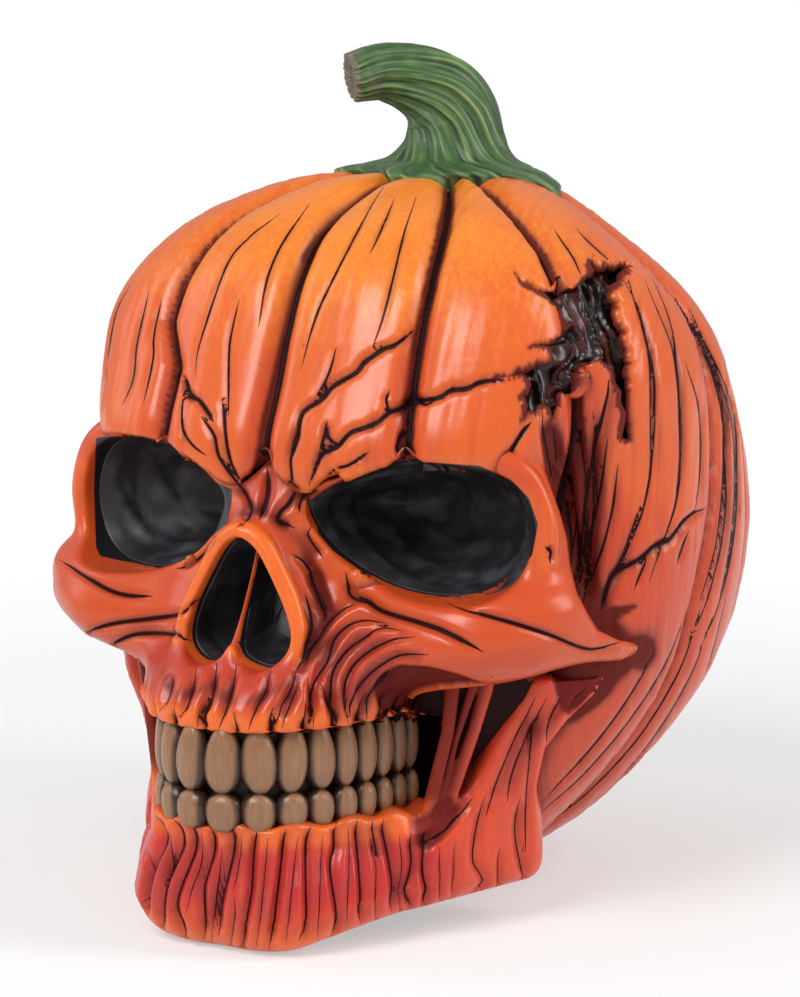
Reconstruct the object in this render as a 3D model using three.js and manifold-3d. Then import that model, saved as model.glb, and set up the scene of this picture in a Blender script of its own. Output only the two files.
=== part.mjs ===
// A skull ornament with a pumpkin for a cranium, cast in resin and painted.
// A ribbed pumpkin shell carries a curled stem. The bony face, the jaw with its two rows of
// seed-shaped teeth, the black socket bowls and the rotten core of the broken temple are
// castings of their own, glued into seats.
// Millimetres, +Z up. The face looks along -Y, and the origin is on the table, under the
// middle of the head.
import * as THREE from "three";
import { mergeVertices } from "three/addons/utils/BufferGeometryUtils.js";
import Module from "manifold-3d";

const wasm = await Module();
wasm.setup();

// The pumpkin shell. Reaches run from the middle of each horizontal oval.
const shellHeight = 155;
const shellHalfWidth = 69;
const shellFrontReach = 68;
const shellBackReach = 76;
const shellLean = 13;
const shellFrontPower = 2.6;
const shellBackPower = 2.05;
const lobeCount = 12;
const lobeAxisReach = 20;
const valleyDepth = 3;
const valleyHalfWidth = 3.6;
const lobeSwell = 1.4;
const templeDepth = 9.5;
const templeHeight = 86;
const templeSpan = 24;
const templeAzimuth = THREE.MathUtils.degToRad(58);
const templeSpread = THREE.MathUtils.degToRad(15);
const browSwell = 1.2;
const browHeight = 104;
const browSpan = 8;
const browRecess = 4;
const browHalfWidth = 19;

// The stem: a ribbed, twisted stalk that flares over the crown and curls over the forehead.
const stemFootY = 20;
const stemFlareRadius = 24;
const stemRise = 22.2;
const stemSway = 21;
const stemRidgeDepth = 1.3;
const stemRidgeCount = 8;
const stemTwist = 0.9;
const stemSeatDepth = 0.5;
const stemDrapeLift = 1.5;

// The eye sockets, measured on a plane that faces outwards from the middle of each one.
const socketX = 32;
const socketInset = 21;
const socketY = socketInset - shellFrontReach;
const socketZ = 87;
const socketHalfWidth = 24;
const socketHalfHeight = 14.2;
const socketDepth = 25;
const socketTurn = THREE.MathUtils.degToRad(17);
const socketRimRadius = 3.7;
const bowlWall = 2.2;

// The upper face: gum line, cheekbones, brow ends and nose.
const faceHalfWidth = 64;
const faceStandoff = 12;
const faceReach = shellFrontReach + faceStandoff;
const faceTop = 103;
const gumHeight = 46.9;
const fluteDepth = 1.1;
const archRootRadius = 6.5;
const noseBottom = 58.5;
const noseTop = 85;
const noseHalfWidth = 12.5;
const noseDepth = 15;
const noseInset = 15.5;
const noseFrontY = noseInset - faceReach;
const noseRimRadius = 2.6;
const septumThickness = 1.8;
const nostrilWall = 1.6;

// The teeth stand on a half-oval arch, round a core that fills the mouth.
const archHalfWidth = 24.3;
const archReach = 40;
const archInset = 2;
const archMiddleY = archInset + archReach - faceReach;
const upperToothTop = 46.6;
const upperToothBottom = 33.4;
const lowerToothTop = 33;
const lowerToothBottom = 25.5;
const toothThickness = 5;
const coreTail = 8;
const coreBackY = archMiddleY + coreTail;

// The jaw: a bar bent round the chin, with a broad ramus at each end.
const jawHalfWidth = 44.5;
const jawInset = 0.5;
const jawReach = faceReach - jawInset;
const jawTop = 25.2;
const ramusTop = 55;
const ramusHalfThickness = 5;

// The broken temple on the left side of the head.
const woundAcross = 25;
const woundHigh = 20;
const woundAzimuth = THREE.MathUtils.degToRad(64);
const woundDrop = 33;
const woundHeight = shellHeight - woundDrop;
const woundDepth = 8;
const woundRecess = 3.5;

const gap = 0.3;
const overrun = 4;

const shellOrange = { color: 0xd9591c, roughness: 0.38, metalness: 0 };
const boneOrange = { color: 0xd94e1f, roughness: 0.38, metalness: 0 };
const stemGreen = { color: 0x55743f, roughness: 0.5, metalness: 0 };
const toothBrown = { color: 0x9a7350, roughness: 0.42, metalness: 0 };
const socketBlack = { color: 0x141416, roughness: 0.6, metalness: 0 };
const rotBrown = { color: 0x2c0f0c, roughness: 0.22, metalness: 0 };

const { cos, sin, abs, pow, max, min, hypot, PI } = Math;
const mix = THREE.MathUtils.lerp;
const ease = (share) => THREE.MathUtils.smoothstep(share, 0, 1);
const point = (x, y, z) => new THREE.Vector3(x, y, z);

const model = new THREE.Group();

function solidOf(geometry) {
  const bare = new THREE.BufferGeometry();
  bare.setAttribute("position", geometry.getAttribute("position"));
  if (geometry.index) bare.setIndex(geometry.index);
  const merged = mergeVertices(bare);
  return new wasm.Manifold(
    new wasm.Mesh({
      numProp: 3,
      vertProperties: merged.attributes.position.array,
      triVerts: new Uint32Array(merged.index.array),
    }),
  );
}

function geometryOf(solid) {
  const mesh = solid.getMesh();
  const geometry = new THREE.BufferGeometry();
  geometry.setAttribute("position", new THREE.BufferAttribute(mesh.vertProperties, 3));
  geometry.setIndex(new THREE.BufferAttribute(mesh.triVerts, 1));
  return geometry;
}

// The largest body of a solid, without the slivers that a cut may leave beside it.
function mainBody(solid) {
  return solid.decompose().reduce((a, b) => (a.volume() > b.volume() ? a : b));
}

function addNode(name, solid, finish) {
  const geometry = geometryOf(mainBody(solid));
  const mesh = new THREE.Mesh(geometry, new THREE.MeshStandardMaterial(finish));
  mesh.name = name;
  model.add(mesh);
}

function closedSolid(points, faces) {
  const geometry = new THREE.BufferGeometry();
  const positions = points.flatMap((p) => [p.x, p.y, p.z]);
  geometry.setAttribute("position", new THREE.Float32BufferAttribute(positions, 3));
  geometry.setIndex(faces);
  const made = solidOf(geometry);
  if (made.volume() > 0) return made;
  geometry.setIndex(faces.map((_, i) => faces[i - (i % 3) + (2 - (i % 3))]));
  return solidOf(geometry);
}

// The walls between rings of points, each ring joined to the next.
function walls(rings, closed) {
  const sides = rings[0].length;
  const faces = [];
  for (let r = 0; r + (closed ? 0 : 1) < rings.length; r += 1) {
    for (let s = 0; s < sides; s += 1) {
      const next = (s + 1) % sides;
      const after = (r + 1) % rings.length;
      const [a, b] = [r * sides + s, r * sides + next];
      const [c, d] = [after * sides + s, after * sides + next];
      faces.push(a, b, d, a, d, c);
    }
  }
  return faces;
}

// A solid through rings of points. Each end is closed by a fan round its middle.
function loft(rings) {
  const sides = rings[0].length;
  const points = rings.flat();
  const faces = walls(rings, false);
  for (const [ring, outward] of [[0, false], [rings.length - 1, true]]) {
    const middle = rings[ring].reduce((sum, p) => sum.add(p), point(0, 0, 0));
    const hub = points.push(middle.divideScalar(sides)) - 1;
    for (let s = 0; s < sides; s += 1) {
      const [a, b] = [ring * sides + s, ring * sides + ((s + 1) % sides)];
      faces.push(...(outward ? [a, b, hub] : [b, a, hub]));
    }
  }
  return closedSolid(points, faces);
}

// A solid through rings of any outline, whose ends are closed as that flat outline is.
function stack(rings, flatOutline) {
  if (THREE.ShapeUtils.isClockWise(flatOutline)) {
    return stack(rings.map((ring) => [...ring].reverse()), [...flatOutline].reverse());
  }
  const faces = walls(rings, false);
  const top = (rings.length - 1) * flatOutline.length;
  for (const [a, b, c] of THREE.ShapeUtils.triangulateShape(flatOutline, [])) {
    faces.push(c, b, a, a + top, b + top, c + top);
  }
  return closedSolid(rings.flat(), faces);
}

// A round section carried along a line that goes round a middle, and faced outwards: a ring
// where the line is closed, and otherwise a lip.
function hoop(curve, middle, outward, radius, flatness, steps, sides) {
  const sections = [];
  for (let i = 0; i < steps; i += 1) {
    const centre = curve.getPoint(i / (curve.closed ? steps : steps - 1));
    const away = centre.clone().sub(middle).projectOnPlane(outward).normalize();
    const section = [];
    for (let s = 0; s < sides; s += 1) {
      const turn = (2 * PI * s) / sides;
      const p = centre.clone();
      p.addScaledVector(away, radius * cos(turn));
      p.addScaledVector(outward, radius * flatness * sin(turn));
      section.push(p);
    }
    sections.push(section);
  }
  return curve.closed ? closedSolid(sections.flat(), walls(sections, true)) : loft(sections);
}

// A limb of oval sections along a smooth line, rounded at both ends. Each station gives a
// point of the line, the half-thickness across it and the half-height.
function limb(stations, sides, steps) {
  const line = new THREE.CatmullRomCurve3(stations.map(([p]) => p));
  const rings = [];
  for (let i = 0; i <= steps; i += 1) {
    const along = i / steps;
    const place = along * (stations.length - 1);
    const k = min(stations.length - 2, Math.floor(place));
    const across = mix(stations[k][1], stations[k + 1][1], place - k);
    const high = mix(stations[k][2], stations[k + 1][2], place - k);
    const endShare = max(0.15, pow(1 - pow(abs(2 * along - 1), 8), 0.5));
    const middle = line.getPoint(along);
    const forward = line.getTangent(along);
    const side = forward.clone().cross(point(0, 0, 1)).normalize();
    const up = side.clone().cross(forward).normalize();
    const ring = [];
    for (let s = 0; s < sides; s += 1) {
      const turn = (2 * PI * s) / sides;
      const p = middle.clone();
      p.addScaledVector(side, across * endShare * cos(turn));
      p.addScaledVector(up, high * endShare * sin(turn));
      ring.push(p);
    }
    rings.push(ring);
  }
  return loft(rings);
}

// A grid of points made finer: a smooth line through each row, and then across the rows.
function refined(rows, columnCount, rowCount) {
  const lines = rows.map((row) => new THREE.CatmullRomCurve3(row, false, "centripetal"));
  const wide = lines.map((line) => {
    const row = [];
    for (let c = 0; c <= columnCount; c += 1) row.push(line.getPoint(c / columnCount));
    return row;
  });
  const fine = [];
  for (let r = 0; r <= rowCount; r += 1) {
    fine.push(
      wide[0].map((_, c) => {
        const across = new THREE.CatmullRomCurve3(wide.map((row) => row[c]), false, "centripetal");
        return across.getPoint(r / rowCount);
      }),
    );
  }
  return fine;
}

// Half an outline and its mirror image, as one row from the right side to the left.
function mirrored(half) {
  const other = half.slice(1).reverse().map((p) => point(-p.x, p.y, p.z));
  return [...other, ...half];
}

// Rows of the shell, from the foot to the crown: height, lean, half-width, front reach and
// back reach.
const shellRowShares = [
  [0, -0.28, 0.286, 0.365, 0.404],
  [0.019, -0.18, 0.335, 0.396, 0.435],
  [0.052, -0.02, 0.42, 0.448, 0.488],
  [0.103, 0.25, 0.566, 0.531, 0.572],
  [0.161, 0.48, 0.695, 0.622, 0.66],
  [0.226, 0.69, 0.811, 0.718, 0.751],
  [0.297, 0.87, 0.91, 0.815, 0.84],
  [0.368, 0.97, 0.966, 0.9, 0.914],
  [0.439, 0.99, 0.989, 0.963, 0.967],
  [0.51, 0.98, 0.998, 1, 0.999],
  [0.581, 0.88, 0.993, 0.997, 0.993],
  [0.639, 0.74, 0.986, 0.983, 0.979],
  [0.69, 0.57, 0.98, 0.922, 0.939],
  [0.742, 0.38, 0.97, 0.839, 0.881],
  [0.787, 0.22, 0.941, 0.768, 0.84],
  [0.832, 0.07, 0.888, 0.692, 0.77],
  [0.871, -0.07, 0.81, 0.62, 0.7],
  [0.903, -0.12, 0.726, 0.55, 0.635],
  [0.932, -0.14, 0.636, 0.476, 0.575],
  [0.955, -0.03, 0.548, 0.4, 0.52],
  [0.974, 0.26, 0.447, 0.328, 0.465],
  [0.99, 0.8, 0.336, 0.305, 0.38],
  [1, 1.2, 0.16, 0.17, 0.17],
];
// The line that the lobes turn about, at shares of the height.
const lobeAxisShares = [[0, -0.2], [0.4, 0.2], [0.64, 0.38], [0.8, 0.5], [0.9, 0.68], [1, 1]];
const lobeColumnShares = [0, 0.1, 0.28, 0.5, 0.72, 0.9];
// How many degrees each valley strays from an even spacing, at shares of the height. The
// valleys that aren't named run straight.
const valleyStrayShares = {
  0: [[0, 0], [0.65, 0], [0.9, -1], [1, -3]],
  1: [[0, 0], [0.39, -1.5], [0.71, -2.5], [0.84, -1.1], [0.94, 0.7], [1, 2]],
  2: [[0, 0], [0.65, 0], [0.865, -4], [0.916, -5.4], [1, -13]],
  3: [[0, 1], [0.41, 2.4], [0.555, 7.3], [0.63, 8.2], [0.84, 6], [1, 0]],
  11: [[0, 3], [0.39, 6], [0.68, 7], [0.755, 5.5], [0.81, 0], [0.94, -1.5], [1, -5]],
};
// The edge where the forehead lobes overhang the root of the nose: across and height.
const browEdgeShares = [
  [1, 0.96], [0.76, 0.94], [0.5, 0.908], [0.27, 0.903], [0.14, 0.92], [0, 0.948],
];

function tableAt(rows, share) {
  const k = max(1, rows.findIndex((row) => row[0] >= share));
  const [low, high] = [rows[k - 1], rows[k]];
  const blend = (share - low[0]) / (high[0] - low[0]);
  return low.map((value, i) => mix(value, high[i], blend));
}

// How much of the shell's oval lies between its middle and a place: 1 is on the surface.
function shellFullness(x, y, share) {
  const [, lean, wide, front, back] = tableAt(shellRowShares, share);
  const away = shellLean * lean - y;
  const ahead = away > 0;
  const power = ahead ? shellFrontPower : shellBackPower;
  const reach = ahead ? shellFrontReach * front : shellBackReach * back;
  return pow(abs(x) / (shellHalfWidth * wide), power) + pow(abs(away) / reach, power);
}

// The azimuth of a valley at a share of the height.
function valleyTurn(number, share) {
  const strays = valleyStrayShares[(number + lobeCount) % lobeCount];
  const stray = strays ? tableAt(strays, share)[1] : 0;
  return (2 * PI * number) / lobeCount + THREE.MathUtils.degToRad(stray);
}

// The place on the shell in one direction from the lobes' axis.
function shellPlace(azimuth, share, grow) {
  const axisY = lobeAxisReach * tableAt(lobeAxisShares, share)[1];
  const z = shellHeight * share;
  let [near, far] = [0, shellHalfWidth + shellBackReach];
  for (let i = 0; i < 30; i += 1) {
    const half = (near + far) / 2;
    const full = shellFullness(half * sin(azimuth), axisY - half * cos(azimuth), share);
    if (full < 1) near = half;
    else far = half;
  }
  const turn = azimuth < 0 ? azimuth + 2 * PI : azimuth;
  let number = lobeCount;
  while (valleyTurn(number, share) > turn) number -= 1;
  const [before, after] = [valleyTurn(number, share), valleyTurn(number + 1, share)];
  const inLobe = (turn - before) / (after - before);
  const toValley = min(turn - before, after - turn) * near;
  const valley = valleyDepth * Math.exp(-pow(toValley / valleyHalfWidth, 2));
  const swell = lobeSwell * sin(PI * inLobe);
  const fade = min(1, near / (shellHalfWidth * 0.5)) * ease(share / 0.15);
  const aside = (abs(azimuth) - templeAzimuth) / templeSpread;
  const above = (z - templeHeight) / templeSpan;
  const hollow = templeDepth * Math.exp(-aside * aside - above * above);
  const facing = ease((5 * PI / 12 - abs(azimuth)) / (PI / 9));
  const brow = browSwell * Math.exp(-pow((z - browHeight) / browSpan, 2)) * facing;
  const radius = near + (swell - valley) * fade - hollow + brow + grow;
  return point(radius * sin(azimuth), axisY - radius * cos(azimuth), z);
}

function shellBody(grow) {
  const rings = shellRowShares.map(([share], row) => {
    const ring = [];
    for (let lobe = 0; lobe < lobeCount; lobe += 1) {
      for (const column of lobeColumnShares) {
        const turn = mix(valleyTurn(lobe, share), valleyTurn(lobe + 1, share), column);
        ring.push(shellPlace(turn > PI ? turn - 2 * PI : turn, share, grow));
      }
    }
    if (row === shellRowShares.length - 1) ring.forEach((p) => p.setZ(p.z + grow));
    return ring;
  });
  return loft(rings);
}

// What lies before the root of the nose, under the forehead's edge and a skin deep.
function browNotch() {
  const edge = mirrored(browEdgeShares.toReversed().map(([a, b]) => point(a * browHalfWidth, b, 0)));
  const foot = point(0, socketZ, 0);
  const outline = [...edge.map((p) => point(p.x, p.y * browHeight, 0)),
    point(browHalfWidth, foot.y, 0), point(-browHalfWidth, foot.y, 0)];
  const flat = outline.map((p) => new THREE.Vector2(p.x, p.y));
  const rings = [-faceReach, -shellFrontReach / 2].map((y) => outline.map((p) => point(p.x, y, p.y)));
  return stack(rings, flat).subtract(shellBody(-browRecess));
}

// The outline of a socket from its inner corner over the top, as shares of its half sizes.
const socketOutlineShares = [
  [-0.98, 0.27], [-0.8, 0.52], [-0.54, 0.73], [-0.21, 0.91], [0.08, 0.97], [0.38, 0.94],
  [0.67, 0.81], [0.87, 0.55], [0.98, 0.08], [0.95, -0.36], [0.83, -0.74], [0.58, -0.97],
  [0.21, -1.02], [-0.17, -0.93], [-0.5, -0.69], [-0.75, -0.39], [-0.92, -0.06],
];
// Depth, width, and shift towards the middle of the head, from the mouth of the socket.
const socketWallShares = [
  [-0.7, 1.03, 0], [0.1, 1, 0], [0.4, 0.9, 0.03], [0.68, 0.72, 0.09], [0.88, 0.48, 0.14],
  [1, 0.2, 0.18],
];

function socketPoint(side, [across, up], scale, shift, depth, grow) {
  const [p, q] = [across * socketHalfWidth * scale, up * socketHalfHeight * scale];
  const length = hypot(p, q);
  const a = p * (1 + grow / length) - shift * socketHalfWidth;
  const b = q * (1 + grow / length);
  const x = socketX + a * cos(socketTurn) - depth * sin(socketTurn);
  const y = socketY + a * sin(socketTurn) + depth * cos(socketTurn);
  return point(side * x, y, socketZ + b);
}

function socketPlug(side, grow, rows) {
  return loft(
    rows.map(([depthShare, scale, shift]) => {
      const depth = depthShare * (socketDepth + grow);
      return socketOutlineShares.map((o) => socketPoint(side, o, scale, shift, depth, grow));
    }),
  );
}

// A bowl is the plug less its own smaller copy, open at the mouth.
function socketBowl(side) {
  const outer = socketPlug(side, -gap, socketWallShares.slice(1));
  const inner = socketPlug(side, -gap - bowlWall, socketWallShares);
  return outer.subtract(inner);
}

const rimStart = 7;

// The rim runs from the brow end round the outer side and the foot to the inner corner. The
// forehead itself is the upper edge of the socket.
function socketRim(side) {
  const outline = socketOutlineShares.map((o) =>
    socketPoint(side, o, 1, 0, 0, socketRimRadius * 0.72),
  );
  const outward = point(side * sin(socketTurn), -cos(socketTurn), 0);
  const middle = point(side * socketX, socketY, socketZ);
  const lip = [...outline.slice(rimStart), outline[0]];
  const curve = new THREE.CatmullRomCurve3(lip, false);
  return hoop(curve, middle, outward, socketRimRadius, 0.85, 18, 7);
}

// Rows of the face: height, then its half outline from the middle line to the arch, as
// shares of the half-width and of the reach.
const faceRowShares = [
  [0.455, [[0, 1], [0.125, 0.988], [0.242, 0.938], [0.328, 0.856], [0.398, 0.75],
    [0.438, 0.637], [0.45, 0.537], [0.438, 0.463], [0.406, 0.4]]],
  [0.495, [[0, 1.006], [0.125, 0.994], [0.25, 0.944], [0.344, 0.863], [0.414, 0.756],
    [0.461, 0.644], [0.477, 0.537], [0.469, 0.463], [0.438, 0.4]]],
  [0.539, [[0, 0.963], [0.125, 0.956], [0.242, 0.912], [0.344, 0.831], [0.445, 0.75],
    [0.578, 0.681], [0.719, 0.606], [0.781, 0.512], [0.766, 0.4]]],
  [0.578, [[0, 0.894], [0.125, 0.894], [0.234, 0.863], [0.352, 0.787], [0.5, 0.744],
    [0.68, 0.713], [0.82, 0.625], [0.906, 0.5], [0.906, 0.35]]],
  [0.621, [[0, 0.85], [0.125, 0.85], [0.227, 0.812], [0.359, 0.75], [0.531, 0.744],
    [0.734, 0.719], [0.914, 0.6], [0.984, 0.463], [0.969, 0.312]]],
  [0.665, [[0, 0.838], [0.117, 0.825], [0.211, 0.769], [0.352, 0.719], [0.531, 0.725],
    [0.75, 0.7], [0.945, 0.581], [1.008, 0.444], [0.984, 0.3]]],
  [0.714, [[0, 0.831], [0.109, 0.806], [0.195, 0.738], [0.336, 0.675], [0.516, 0.681],
    [0.734, 0.662], [0.938, 0.562], [1, 0.431], [0.961, 0.294]]],
  [0.777, [[0, 0.819], [0.094, 0.781], [0.164, 0.713], [0.281, 0.625], [0.469, 0.588],
    [0.688, 0.575], [0.875, 0.506], [0.945, 0.394], [0.922, 0.287]]],
  [0.874, [[0, 0.769], [0.086, 0.738], [0.148, 0.688], [0.266, 0.637], [0.469, 0.619],
    [0.688, 0.569], [0.852, 0.481], [0.922, 0.381], [0.891, 0.275]]],
  [0.951, [[0, 0.694], [0.086, 0.681], [0.156, 0.662], [0.281, 0.637], [0.469, 0.613],
    [0.672, 0.562], [0.828, 0.475], [0.891, 0.381], [0.867, 0.287]]],
  [1, [[0, 0.625], [0.086, 0.625], [0.156, 0.619], [0.281, 0.6], [0.469, 0.575],
    [0.656, 0.531], [0.781, 0.456], [0.828, 0.375], [0.797, 0.3]]],
];
const faceColumnCount = 40;
const faceRowCount = 15;
const fluteEndShare = 0.6;

// The full width of the face, fluted over the tooth roots.
function faceBody() {
  const rows = faceRowShares.map(([up, half]) =>
    mirrored(half.map(([a, b]) => point(a * faceHalfWidth, -b * faceReach, up * faceTop))),
  );
  const rings = refined(rows, faceColumnCount, faceRowCount);
  for (const ring of rings) {
    const up = ring[0].z / faceTop;
    const fade = 1 - ease((up - faceRowShares[0][0]) / (fluteEndShare - faceRowShares[0][0]));
    ring.forEach((p, c) => {
      const front = ease((-p.y / faceReach - 0.5) / 0.15);
      const inward = (c % 2 ? fluteDepth : 0) * fade * front;
      p.addScaledVector(point(-p.x, -p.y + archMiddleY, 0).normalize(), inward);
    });
  }
  rings[0].forEach((p) => p.setZ(gumHeight));
  return loft(rings);
}

// Stations of the arch from the cheekbone back to the shell: across, reach and height.
const archStationShares = [
  [0.844, 0.525, 0.631, 0.9, 1], [0.945, 0.35, 0.626, 0.8, 0.95], [0.984, 0.225, 0.607, 0.62, 0.8],
  [0.938, 0.075, 0.587, 0.43, 0.49],
];

function cheekArch(side) {
  const stations = archStationShares.map(([across, reach, up, wide, high]) => [
    point(side * across * faceHalfWidth, -reach * faceReach, up * faceTop),
    wide * archRootRadius,
    high * archRootRadius,
  ]);
  return limb(stations, 8, 10);
}

// Pear-shaped outline of the nose opening, as shares of its half-width and height.
const noseOutlineShares = [
  [0, 0.14], [0.22, 0.04], [0.62, 0], [0.93, 0.11], [1, 0.3], [0.86, 0.52], [0.62, 0.76],
  [0.34, 0.94], [0, 1], [-0.34, 0.94], [-0.62, 0.76], [-0.86, 0.52], [-1, 0.3],
  [-0.93, 0.11], [-0.62, 0], [-0.22, 0.04],
];
const noseMiddleShare = 0.42;

function nosePoint([across, up], scale, depth, grow) {
  const height = noseTop - noseBottom;
  const [x, z] = [across * noseHalfWidth * scale, (up - noseMiddleShare) * height * scale];
  const length = max(hypot(x, z), gap);
  const middleZ = mix(noseBottom, noseTop, noseMiddleShare);
  const y = noseFrontY + depth - 0.2 * noseHalfWidth * (1 - abs(across)) + 0.12 * z;
  return point(x * (1 + grow / length), y, middleZ + z * (1 + grow / length));
}

function nosePlug(grow, frontDepth) {
  const rowShares = [[-frontDepth / noseDepth, 1], [0.5, 0.96], [1, 0.7]];
  return loft(
    rowShares.map(([deep, scale]) =>
      noseOutlineShares.map((o) => nosePoint(o, scale, deep * (noseDepth + grow), grow)),
    ),
  );
}

function noseRim() {
  const outline = noseOutlineShares.map((o) => nosePoint(o, 1, 0, noseRimRadius * 0.6));
  const middle = nosePoint([0, noseMiddleShare], 1, 0, 0);
  const curve = new THREE.CatmullRomCurve3(outline, true);
  return hoop(curve, middle, point(0, -1, 0), noseRimRadius, 1, 20, 6);
}

// A thin plate stands in the nose opening and parts the two nostril pockets.
function septum() {
  const plate = new THREE.BoxGeometry(septumThickness, noseDepth * 0.8, noseTop - noseBottom);
  plate.translate(0, noseFrontY + noseDepth * 0.45, mix(noseBottom, noseTop, 0.5));
  return solidOf(plate).intersect(nosePlug(-gap, overrun * 2));
}

// A nostril pocket is one half of a cup in the nose opening, beside the septum.
function nostrilPocket(side) {
  const inner = nosePlug(-gap - nostrilWall, overrun * 2).translate([0, -nostrilWall, 0]);
  const cup = nosePlug(-gap, overrun * 2).subtract(inner);
  const half = new THREE.BoxGeometry(2 * noseHalfWidth, noseDepth, 2 * noseTop);
  half.translate(side * (noseHalfWidth + septumThickness / 2 + gap), 0, noseTop);
  half.translate(0, noseFrontY + 0.75 * noseDepth, 0);
  return cup.intersect(solidOf(half));
}

// Rows of the jaw's outer face from its lower edge up to the gum: half outlines from the
// chin to the angle, as shares of the half-width, the reach and the gum's height.
const jawRowShares = [
  [[0, 0.95, 0], [0.202, 0.95, 0], [0.371, 0.931, 0.032], [0.494, 0.868, 0.103],
    [0.652, 0.717, 0.19], [0.809, 0.516, 0.254], [0.955, 0.239, 0.27]],
  [[0, 0.994, 0.278], [0.225, 0.994, 0.278], [0.416, 0.956, 0.294], [0.539, 0.881, 0.341],
    [0.697, 0.723, 0.417], [0.854, 0.522, 0.476], [1, 0.226, 0.516]],
  [[0, 1, 0.556], [0.225, 0.994, 0.556], [0.404, 0.95, 0.556], [0.528, 0.868, 0.575],
    [0.685, 0.717, 0.615], [0.854, 0.528, 0.655], [1, 0.226, 0.694]],
  [[0, 0.984, 0.813], [0.202, 0.975, 0.813], [0.371, 0.925, 0.813], [0.501, 0.836, 0.813],
    [0.652, 0.704, 0.825], [0.82, 0.541, 0.853], [0.993, 0.233, 0.873]],
  [[0, 0.996, 1], [0.191, 0.984, 1], [0.36, 0.931, 1], [0.479, 0.843, 1], [0.607, 0.717, 1],
    [0.753, 0.553, 1], [0.966, 0.252, 1]],
];
const jawInnerShares = [
  [0, 0.83], [0.18, 0.818], [0.315, 0.761], [0.404, 0.679], [0.494, 0.579], [0.607, 0.453],
  [0.742, 0.277],
];
const jawColumnCount = 44;
const jawRowCount = 5;

function jawBar() {
  const outer = jawRowShares.map((row) =>
    mirrored(row.map(([a, b, c]) => point(a * jawHalfWidth, -b * jawReach, c * jawTop))),
  );
  const inner = jawRowShares.map((row) =>
    mirrored(
      row.map(([, , c], i) => {
        const [a, b] = jawInnerShares[i];
        return point(a * jawHalfWidth, -b * jawReach, c * jawTop);
      }),
    ),
  );
  const fineOuter = refined(outer, jawColumnCount, jawRowCount);
  const fineInner = refined(inner, jawColumnCount / 2, jawRowCount);
  const rings = fineOuter.map((row, r) => {
    const front = row.map((p, c) => {
      const inward = c % 2 && c > 1 && c < jawColumnCount - 1 ? fluteDepth : 0;
      return p.clone().addScaledVector(point(-p.x, -p.y + archMiddleY, 0).normalize(), inward);
    });
    const ring = [...front, ...fineInner[r].reverse()];
    return ring.map((p) => p.setZ(max(0, p.z)));
  });
  const top = rings[rings.length - 1].map((p) => new THREE.Vector2(p.x, p.y));
  return stack(rings, top);
}

// Rows of the ramus: height, its front and rear edge, and its thickness.
const ramusRowShares = [
  [0.218, 0.708, 0.585, 0.989, 0.226, 1],
  [0.4, 0.744, 0.563, 1.011, 0.252, 1],
  [0.545, 0.846, 0.484, 1.045, 0.283, 1],
  [0.7, 0.93, 0.448, 1.112, 0.302, 1],
  [0.818, 1.011, 0.436, 1.225, 0.296, 0.96],
  [0.909, 1.067, 0.417, 1.315, 0.245, 0.9],
  [1, 1.13, 0.405, 1.371, 0.226, 0.8],
];

function ramus(side) {
  const sides = 14;
  return loft(
    ramusRowShares.map(([up, frontX, frontY, rearX, rearY, thick]) => {
      const front = point(side * frontX * jawHalfWidth, -frontY * jawReach, up * ramusTop);
      const rear = point(side * rearX * jawHalfWidth, -rearY * jawReach, up * ramusTop);
      const along = rear.clone().sub(front).multiplyScalar(0.5);
      const across = point(-along.y, along.x, 0).normalize();
      const inward = across.x * side > 0 ? -1 : 1;
      const middle = front.clone().lerp(rear, 0.5);
      middle.addScaledVector(across, inward * ramusHalfThickness * 0.4);
      const ring = [];
      for (let s = 0; s < sides; s += 1) {
        const turn = (2 * PI * (s + 0.5)) / sides;
        const flute = s % 2 ? 1 : 0.86;
        const p = middle.clone().addScaledVector(along, cos(turn));
        ring.push(p.addScaledVector(across, ramusHalfThickness * thick * flute * sin(turn)));
      }
      return ring;
    }),
  );
}

function archPoint(turn, grow) {
  const x = (archHalfWidth + grow) * sin(turn);
  return point(x, archMiddleY - (archReach + grow) * cos(turn), 0);
}

function mouthCore(grow, low, high) {
  const outline = [];
  for (let i = 0; i <= 20; i += 1) {
    outline.push(archPoint(-PI / 2 + (PI * i) / 20, grow - toothThickness * 0.36));
  }
  const side = outline[20].x;
  outline.push(point(side, coreBackY, 0), point(-side, coreBackY, 0));
  return loft([low, high].map((z) => outline.map((p) => point(p.x, p.y, z))));
}

// A tooth shaped like a pumpkin seed: narrow at the root, full towards its biting edge.
const toothWidthShares = [1.28, 1.22, 1.14, 1.06, 0.98, 0.92, 0.86, 0.8, 0.74];
const upperToothShares = [[0, 0.42], [0.1, 0.8], [0.36, 1], [0.72, 0.74], [1, 0.26]];
const lowerToothShares = [[0, 0.6], [0.2, 0.9], [0.55, 1], [0.85, 0.84], [1, 0.5]];

function tooth(side, turn, width, bottom, top, shares) {
  const middle = archPoint(turn, 0);
  const across = archPoint(turn + 0.01, 0).sub(archPoint(turn - 0.01, 0)).normalize();
  const outward = point(across.y, -across.x, 0);
  const sides = 7;
  return loft(
    shares.map(([up, full]) => {
      const ring = [];
      for (let s = 0; s < sides; s += 1) {
        const angle = PI / 2 + (2 * PI * s) / sides;
        const p = middle.clone().setZ(mix(bottom, top, up));
        p.addScaledVector(across, (width / 2) * full * cos(angle));
        p.addScaledVector(outward, (toothThickness / 2) * mix(full, 1, 0.35) * sin(angle));
        p.x *= side;
        ring.push(p);
      }
      return ring;
    }),
  );
}

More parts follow.
